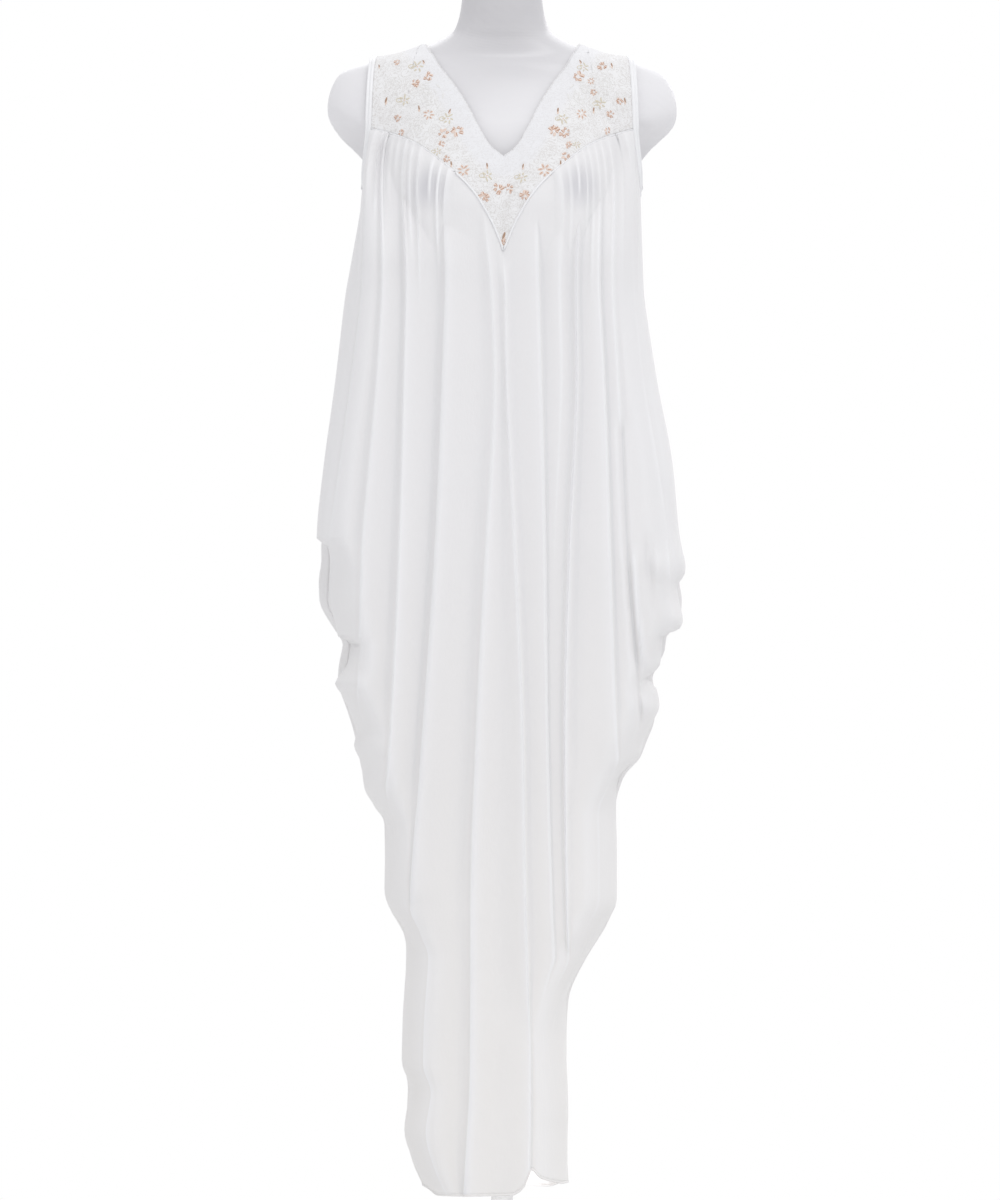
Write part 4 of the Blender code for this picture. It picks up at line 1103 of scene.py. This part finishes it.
def gathered_top(folds, columns, below, side):
    """Rows from the yoke seam and the armholes down to the first section."""
    chance = random.Random(GATHER_SEED + side)
    lift = YOKE_LIFT_AT_SEAM + CLOTH_WALL
    top = top_edge(folds, columns, side)
    waves = gather_wave(folds, columns, chance)
    rows = []
    for row in range(GATHER_PANEL_ROWS):
        share = (row / GATHER_PANEL_ROWS) ** GATHER_ROW_POWER
        line = []
        for column, (start, end) in enumerate(zip(top, below)):
            start = Vector(start)
            end = Vector(end)
            point = start.lerp(end, share)
            inside = column - SIDE_COLUMNS
            if 0 <= inside < len(columns):
                point.x = mix(start.x, end.x, share ** SPREAD_POWER)
                point.y = mix(start.y, end.y, soft_step(share * DEPTH_PACE))
                if share > 0 and abs(point.x) < CLEAR_HALF_WIDTH:
                    clear = soft_step((CLEAR_HALF_WIDTH - abs(point.x)) / CLEAR_BLEND)
                    limit = cloth_face(point.x, point.z, side) + side * (lift - CLEAR_DROP * (1 - clear))
                    point.y = side * max(side * point.y, side * limit)
                wave, length, depth = waves[inside]
                drop = start.z - point.z
                fullness = soft_step((abs(start.x - CENTRE_X) - PLAIN_SEAM_HALF) / PLAIN_SEAM_BLEND)
                if side == BACK:
                    fullness = 1.0
                from_edge = min(inside, len(columns) - 1 - inside)
                near_edge = soft_step(from_edge / PLAIN_EDGE_COLUMNS + share)
                swell = mix(GATHER_PINCH, 1.0, soft_step(drop / PUFF_LENGTH))
                fade = 1 - soft_step((drop / length - GATHER_FADE_FROM) / GATHER_FADE_OVER)
                puff = PUFF_DEPTH * math.exp(-((drop / PUFF_LENGTH - PUFF_PLACE) ** 2))
                fan = FAN_OUT * (1 - math.exp(-drop / FAN_LENGTH)) * (1 - soft_step(share))
                point.x += math.copysign(fan, start.x) * fullness * near_edge
                out = (GATHER_DEPTH * depth * wave * swell * fade + puff * (row > 0)) * fullness * near_edge
                point.y += side * out
            line.append(tuple(point))
        rows.append(line)
    return rows


def filled_rows(lines):
    """Rows between the sections, on smooth curves through them that never overshoot."""
    grid = np.array(lines)
    steps = np.diff(grid, axis=0)
    before = np.concatenate([steps[:1], steps])
    after = np.concatenate([steps, steps[-1:]])
    same_way = before * after > 0
    slopes = np.where(same_way, 2 * before * after / np.where(same_way, before + after, 1.0), 0.0)
    rows = []
    for index in range(len(lines) - 1):
        length = float(np.median(np.linalg.norm(steps[index], axis=1)))
        parts = max(1, round(length / ROW_SPACING))
        for part in range(parts):
            rows.append(between(grid[index], grid[index + 1], slopes[index], slopes[index + 1],
                                part / parts))
    rows.append(grid[-1])
    return np.array(rows)


def smoothed(grid, first, last, passes):
    """Grid with some of its rows smoothed down the cloth."""
    for _ in range(passes):
        middle = grid[first:last]
        grid[first:last] = (grid[first - 1:last - 1] + 2 * middle + grid[first + 1:last + 1]) / 4
    return grid


def creased(grid, side):
    """Grid with the listed creases pressed in and raised."""
    for out, width, corners in CREASES:
        ends = np.array(corners, dtype=float)
        nearest = np.full(grid.shape[:2], 1e9)
        strength = np.zeros(grid.shape[:2])
        spans = np.linalg.norm(np.diff(ends, axis=0), axis=1)
        before = 0.0
        for first, second, span in zip(ends, ends[1:], spans):
            way = (second - first) / span
            away = grid[:, :, (0, 2)] - first
            along = np.clip(away @ way, 0, span)
            gap = np.linalg.norm(away - along[:, :, None] * way, axis=2)
            to_end = np.minimum(before + along, spans.sum() - before - along)
            closer = gap < nearest
            nearest[closer] = gap[closer]
            strength[closer] = np.clip(to_end / CREASE_FADE, CREASE_FAINTEST, 1)[closer]
            before += span
        columns = np.arange(grid.shape[1])
        inside = np.clip(np.minimum(columns, columns[::-1]) / (SIDE_COLUMNS / 2), 0, 1)
        grid[:, :, 1] += side * out * strength * inside * np.exp(-((nearest / width) ** 2))
    return grid


# The relief steers the painted highlights on the crests and the painted shade in the valleys
def mark_relief(panel, grid, side):
    """Store on the panel how far each point stands out of the cloth beside it, from -1 to 1."""
    tones = []
    for row in grid:
        x = row[:, 0]
        out = side * row[:, 1]
        tone = np.zeros(len(x))
        for reach, rise in TONE_REACHES:
            weights = np.exp(-(((x[:, None] - x[None, :]) / reach) ** 2)) * np.abs(np.gradient(x))
            around = weights @ out / weights.sum(axis=1)
            slope = np.diff(around, append=around[-1]) / np.maximum(np.diff(x, append=x[-1] + 1), TONE_STEP)
            tone += (out - around) / (1 + slope ** 2) / rise
        inside = np.clip(np.minimum(x - x.min(), x.max() - x) / TONE_EDGE - TONE_EDGE_START, 0, 1)
        tones.append(np.clip(tone, -1, 1) * inside)
    store(panel, "relief", np.concatenate(tones))


def panel_grid(side):
    """Points of a panel's outer face, from the yoke seam down to the hem."""
    folds = FRONT_FOLDS if side == FRONT else BACK_FOLDS
    hem = FRONT_HEM if side == FRONT else BACK_HEM
    columns = panel_columns(folds)
    pick = 1 if side == FRONT else 2
    lines = []
    lefts = [left for left, _ in SIDE_SECTIONS]
    rights = [right for _, right in SIDE_SECTIONS]
    wide_lefts = [wide_reach(lefts, column, -1) for column in (1, 2)]
    wide_rights = [wide_reach(rights, column, 1) for column in (1, 2)]
    for index, (left, right) in enumerate(SIDE_SECTIONS):

        def heights(x, left=left, right=right):
            return mix(left[0], right[0], clamp((x - left[pick]) / (right[pick] - left[pick])))

        wide_left = [wide[index] for wide in wide_lefts]
        wide_right = [wide[index] for wide in wide_rights]
        line = gown_line(folds, columns, wide_left, wide_right, heights, side)
        line = pulled_in(line, wide_left[pick - 1], left[pick], -1)
        line = pulled_in(line, wide_right[pick - 1], right[pick], 1)
        lines.append(tucked_in(line, left[1:], right[1:], side))
    for (left, right), step in zip(HEM_SECTIONS, HEM_STEPS):

        def heights(x, step=step):
            ends = (eased(FRONT_HEM, x) + eased(BACK_HEM, x)) / 2
            near_side = soft_step((abs(x - HEM_MIDDLE_X) - HEM_SIDE_FROM) / HEM_SIDE_OVER)
            return mix(eased(hem, x), ends, near_side) + step

        line = gown_line(folds, columns, left, right, heights, side)
        lines.append(tucked_in(line, left, right, side))
    upper = gathered_top(folds, columns, lines[0], side)
    grid = np.concatenate([np.array(upper), filled_rows(lines)])
    joined = smoothed(grid, GATHER_PANEL_ROWS - JOIN_ABOVE, GATHER_PANEL_ROWS + JOIN_BELOW, JOIN_PASSES)
    return creased(joined, side)


def jersey_cloth(name):
    """Fine jersey with a soft sheen, cooler towards the top of the gown and warmer at the hem."""
    jersey, tree = new_material(name)
    place = node(tree, "TexCoord", "Object")
    up = node(tree, "SeparateXYZ", "Z", {"Vector": place})
    wales = node(tree, "Mapping", "Vector", {"Vector": place, "Scale": KNIT_STRETCH})
    knit = node(tree, "TexNoise", "Fac", {"Vector": wales, "Scale": 1 / (KNIT_SIZE * MM), "Detail": 3})
    cool = two_tone(tree, knit, (0, JERSEY_SHADE), (1, JERSEY_WHITE))
    layers = {"Factor": rising(tree, up, WARM_BELOW, COOL_ABOVE), "A": (*JERSEY_WARM, 1), "B": cool}
    shown = node(tree, "Mix", "Result", layers, data_type="RGBA")
    flat = {0: place, 1: (1, SPOT_DEPTH_SHARE, 1)}
    flattened = node(tree, "VectorMath", "Vector", flat, operation="MULTIPLY")
    # Painted shade in two soft spots, where the form's shaded bust shows through the cloth
    for x, height, radius in BUST_SHADE_SPOTS:
        spot = (x * MM, BUST_SHADE_Y * SPOT_DEPTH_SHARE * MM, height * MM)
        away = node(tree, "VectorMath", "Value", {0: flattened, 1: spot}, operation="DISTANCE")
        nearness = rising(tree, away, radius * MM, radius * MM * SPOT_CORE, interpolation_type="SMOOTHSTEP")
        shown = covered(tree, nearness, shown, BUST_PAINTED_SHADE)
    # Painted highlight on the crests and painted shade in the valleys, by how far the cloth stands out
    stands_out = node(tree, "Attribute", "Fac", attribute_name="relief")
    shown = covered(tree, rising(tree, stands_out, 0, 1), shown, CREST_HIGHLIGHT)
    shown = covered(tree, rising(tree, stands_out, 0, -1, VALLEY_SHARE), shown, VALLEY_SHADE)
    # Painted light: the inner face glows where it faces into the gown
    here = node(tree, "NewGeometry", "Position")
    level = node(tree, "VectorMath", "Vector", {0: here, 1: (0, 1, 0)}, operation="MULTIPLY")
    faces = {0: level, 1: here.node.outputs["Normal"]}
    outward = node(tree, "VectorMath", "Value", faces, operation="DOT_PRODUCT")
    set_inputs(tree.nodes["Principled BSDF"], {
        "Base Color": shown,
        "Normal": node(tree, "Bump", "Normal", {"Height": knit, "Distance": KNIT_RISE * MM}),
        "Emission Strength": rising(tree, outward, INSIDE_FROM, INSIDE_FULL, INNER_PAINTED_GLOW),
        "Emission Color": (*JERSEY_WHITE, 1),
        "Roughness": 0.62,
        "Sheen Weight": 0.2,
        "Sheen Roughness": 0.4,
    })
    return jersey


white_jersey = jersey_cloth("gown_ivory_jersey")
PANEL_GRIDS = {side: panel_grid(side) for side in (FRONT, BACK)}
PANEL_CUTS = (
    (FRONT, "gown_front_panel", (0.66, 1.24), 0.62),
    (BACK, "gown_back_panel", (0.64, 1.23), 0.58),
)
for side, name, flat, area in PANEL_CUTS:
    panel = sheet_from(name, PANEL_GRIDS[side], side, JERSEY_WALL, white_jersey)
    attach(panel, "root")
    mark_relief(panel, PANEL_GRIDS[side], side)
    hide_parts("front_body" if side == FRONT else "back_body")
    yoke = YOKES[side].name

# The armhole bindings. A narrow strip of satin folded over the cut edges of the yoke and the
# panels, sewn down along both of its edges so that it lies in two soft ridges.
BINDING_LIFT = 0.6
BINDING_STEP = 4.0
BINDING_PASSES = (3, 6)
# How the binding faces out round the armhole, below the yoke
BINDING_OUT = 0.9
BINDING_TURN = 60.0
# Cross section of the binding: away from the armhole's cut edge, outward
BINDING_PROFILE = (
    (-0.8, -0.1), (-0.7, 0.75), (0.3, 1.4), (1.5, 1.75), (2.4, 1.5), (3.2, 0.75), (3.8, 0.7),
    (4.6, 1.35), (5.4, 1.7), (6.2, 1.3), (6.7, 0.5), (6.65, -0.3),
)
SATIN_WHITE = (0.90, 0.90, 0.91)
SATIN_SHADE = (0.88, 0.88, 0.89)


def tube_from(name, rings, closed, material):
    """Smooth piece through rings of points."""
    sides = len(rings[0])
    count = len(rings)
    points = [point for ring in rings for point in ring]
    faces = ring_faces(0, sides, count, closed)
    if not closed:
        faces.append(tuple(range(sides))[::-1])
        faces.append(tuple((count - 1) * sides + side for side in range(sides)))
    tube = object_from(name, points, faces, material)
    tube.data.update()
    return tube


def binding_stations(inward):
    """Points round an armhole on the cut edges, with the directions out of the cloth."""
    stations = []
    for side in (FRONT, BACK):
        grid = YOKE_GRIDS[side]
        normals = grid_normals(grid, side)
        column = 0 if inward == 1 else -1
        rows = range(len(grid) - 1, -1, -2) if side == FRONT else range(2, len(grid), 2)
        for row in rows:
            stations.append((Vector(grid[row, column]), Vector(normals[row, column])))
    for side, order in ((BACK, -1), (FRONT, 1)):
        grid = PANEL_GRIDS[side]
        edge = [Vector(grid[0, step if inward == 1 else -1 - step]) for step in range(0, SIDE_COLUMNS + 1, 2)]
        edge = edge[::order]
        for point in (edge if side == BACK else edge[1:]):
            out = Vector((-inward * BINDING_OUT, (point.y - SIDE_SEAM_Y) / BINDING_TURN, 0))
            stations.append((point, out.normalized()))
    return stations


def rounded(points, passes):
    """Closed row of vectors, smoothed."""
    for _ in range(passes):
        count = len(points)
        points = [(points[index - 1] + points[index] * 2 + points[(index + 1) % count]) / 4
                  for index in range(count)]
    return points


def binding_rings(inward):
    """Rings of a binding's cross section round an armhole."""
    stations = binding_stations(inward)
    full = []
    for index, (point, out) in enumerate(stations):
        after, out_after = stations[(index + 1) % len(stations)]
        parts = max(1, round((after - point).length / BINDING_STEP))
        for part in range(parts):
            full.append((point.lerp(after, part / parts), out.lerp(out_after, part / parts)))
    points, outs = (rounded(row, passes) for row, passes in zip(zip(*full), BINDING_PASSES))
    rings = []
    count = len(points)
    for index, point in enumerate(points):
        along = points[(index + 1) % count] - points[index - 1]
        away = along.cross(outs[index]).normalized()
        if away.dot(Vector((-inward, 0, 0.6))) < 0:
            away = -away
        out = outs[index].normalized()
        rings.append([point + away * reach + out * (rise + BINDING_LIFT - CLOTH_WALL / 2)
                      for reach, rise in BINDING_PROFILE])
    return rings


SATIN_SHEEN = {"Roughness": 0.42, "Sheen Weight": 0.15}
white_satin = grained("trim_white_satin", SATIN_WHITE, SATIN_SHADE, 1.2, 0.06, SATIN_SHEEN)
for name, inward in (("armhole_trim_left", -1), ("armhole_trim_right", 1)):
    trim = tube_from(name, binding_rings(inward), True, white_satin)
    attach(trim, "root")
    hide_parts("armhole_binding_left" if inward == -1 else "armhole_binding_right")

# The seams and edges. Thin piping stands along the plain seam of the V, a narrow overcast seam
# holds the gathers, the hem is rolled and sewn with a fine thread, and the neck has a small
# looped edge.
PIPING_RADIUS = 1.2
PIPING_STANDS = 0.8
PIPING_GAP = 0.4
PIPING_REACH = 54.0
SEAM_RADIUS = 0.75
SEAM_WIDTHS = (0.75, 1.2)
SEAM_STANDS = 1.2
HEM_RADIUS = 1.35
HEM_SINK = 0.4
HEM_RAISE = 0.6
NECK_RADIUS = 0.55
LOOP_PITCH = 4.6
LOOP_RISE = 0.7
LOOP_STEP = 1.1
LOOP_SINK = 0.4
CORD_SIDES = 8
SEAM_STEP = 2.0


def cord_rings(points, radius, outs=None):
    """Rings round a row of points."""
    rings = []
    for index, point in enumerate(points):
        along = points[min(index + 1, len(points) - 1)] - points[max(index - 1, 0)]
        out = outs[index] if outs else Vector((0, 0, 1))
        across = along.cross(out).normalized()
        out = across.cross(along).normalized()
        width = radius(index) if callable(radius) else radius
        rings.append([
            point + (across * math.cos(math.tau * side / CORD_SIDES)
                     + out * math.sin(math.tau * side / CORD_SIDES)) * width
            for side in range(CORD_SIDES)
        ])
    return rings


def seam_row(first, last, side, lift, drop):
    """Points and outward directions along the yoke seam."""
    count = max(2, round(abs(last - first) / SEAM_STEP))
    row = [seam_point(mix(first, last, step / count), side, lift, drop) for step in range(count + 1)]
    return [point for point, _ in row], [out for _, out in row]


for name, direction in (("v_piping_left", 1), ("v_piping_right", -1)):
    start = CENTRE_X + direction * PIPING_GAP
    points, outs = seam_row(start, start + direction * PIPING_REACH, FRONT,
                            YOKE_LIFT_AT_SEAM + CLOTH_WALL + PIPING_RADIUS * PIPING_STANDS, SEAM_GAP / 2)
    piping = tube_from(name, cord_rings(points, PIPING_RADIUS, outs), False, white_satin)
    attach(piping, "root")
    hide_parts("yoke_piping_left" if direction == 1 else "yoke_piping_right")

seam_chance = random.Random(GATHER_SEED)
SEAM_RUNS = (
    ("gather_seam_left", FRONT, PIPING_REACH, YOKE_HALF_AT_SEAM - 1),
    ("gather_seam_right", FRONT, -PIPING_REACH, -YOKE_HALF_AT_SEAM + 1),
    ("gather_seam_back", BACK, -YOKE_HALF_AT_SEAM + 1, YOKE_HALF_AT_SEAM - 1),
)
for name, side, first, last in SEAM_RUNS:
    points, outs = seam_row(first, last, side, YOKE_LIFT_AT_SEAM + CLOTH_WALL * SEAM_STANDS, SEAM_GAP / 2)
    widths = [SEAM_RADIUS * seam_chance.uniform(*SEAM_WIDTHS) for _ in points]
    seam = tube_from(name, cord_rings(points, widths.__getitem__, outs), False, white_satin)
    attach(seam, "root")

for name, side in (("rolled_hem_front", FRONT), ("rolled_hem_back", BACK)):
    edge = PANEL_GRIDS[side][-1]
    inside = grid_normals(PANEL_GRIDS[side], side)[-1]
    points = [Vector(point) - Vector(out) * HEM_RADIUS * HEM_SINK for point, out in zip(edge, inside)]
    points = [point + Vector((0, 0, HEM_RADIUS * HEM_RAISE)) for point in points]
    rings = cord_rings(points, HEM_RADIUS, [Vector(out) for out in inside])
    hem_roll = tube_from(name, rings, False, white_jersey)
    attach(hem_roll, "root")

for name, side in (("neck_loops_front", FRONT), ("neck_loops_back", BACK)):
    grid = YOKE_GRIDS[side]
    normals = grid_normals(grid, side)
    rows = (grid[0], grid[1], normals[0])
    edge, inner, outs = ([Vector(place) for place in neck_part(row)] for row in rows)
    length = 0.0
    points = []
    directions = []
    for index in range(len(edge) - 1):
        span = (edge[index + 1] - edge[index]).length
        parts = max(1, round(span / LOOP_STEP))
        for part in range(parts):
            share = part / parts
            spot = edge[index].lerp(edge[index + 1], share)
            beyond = (edge[index] - inner[index]).normalized()
            wave = abs(math.sin(math.pi * (length + span * share) / LOOP_PITCH))
            points.append(spot + beyond * (wave * LOOP_RISE) - outs[index] * LOOP_SINK)
            directions.append(outs[index].lerp(outs[index + 1], share))
        length += span
    loops = tube_from(name, cord_rings(points, NECK_RADIUS, directions), False, cream_lace)
    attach(loops, "root")
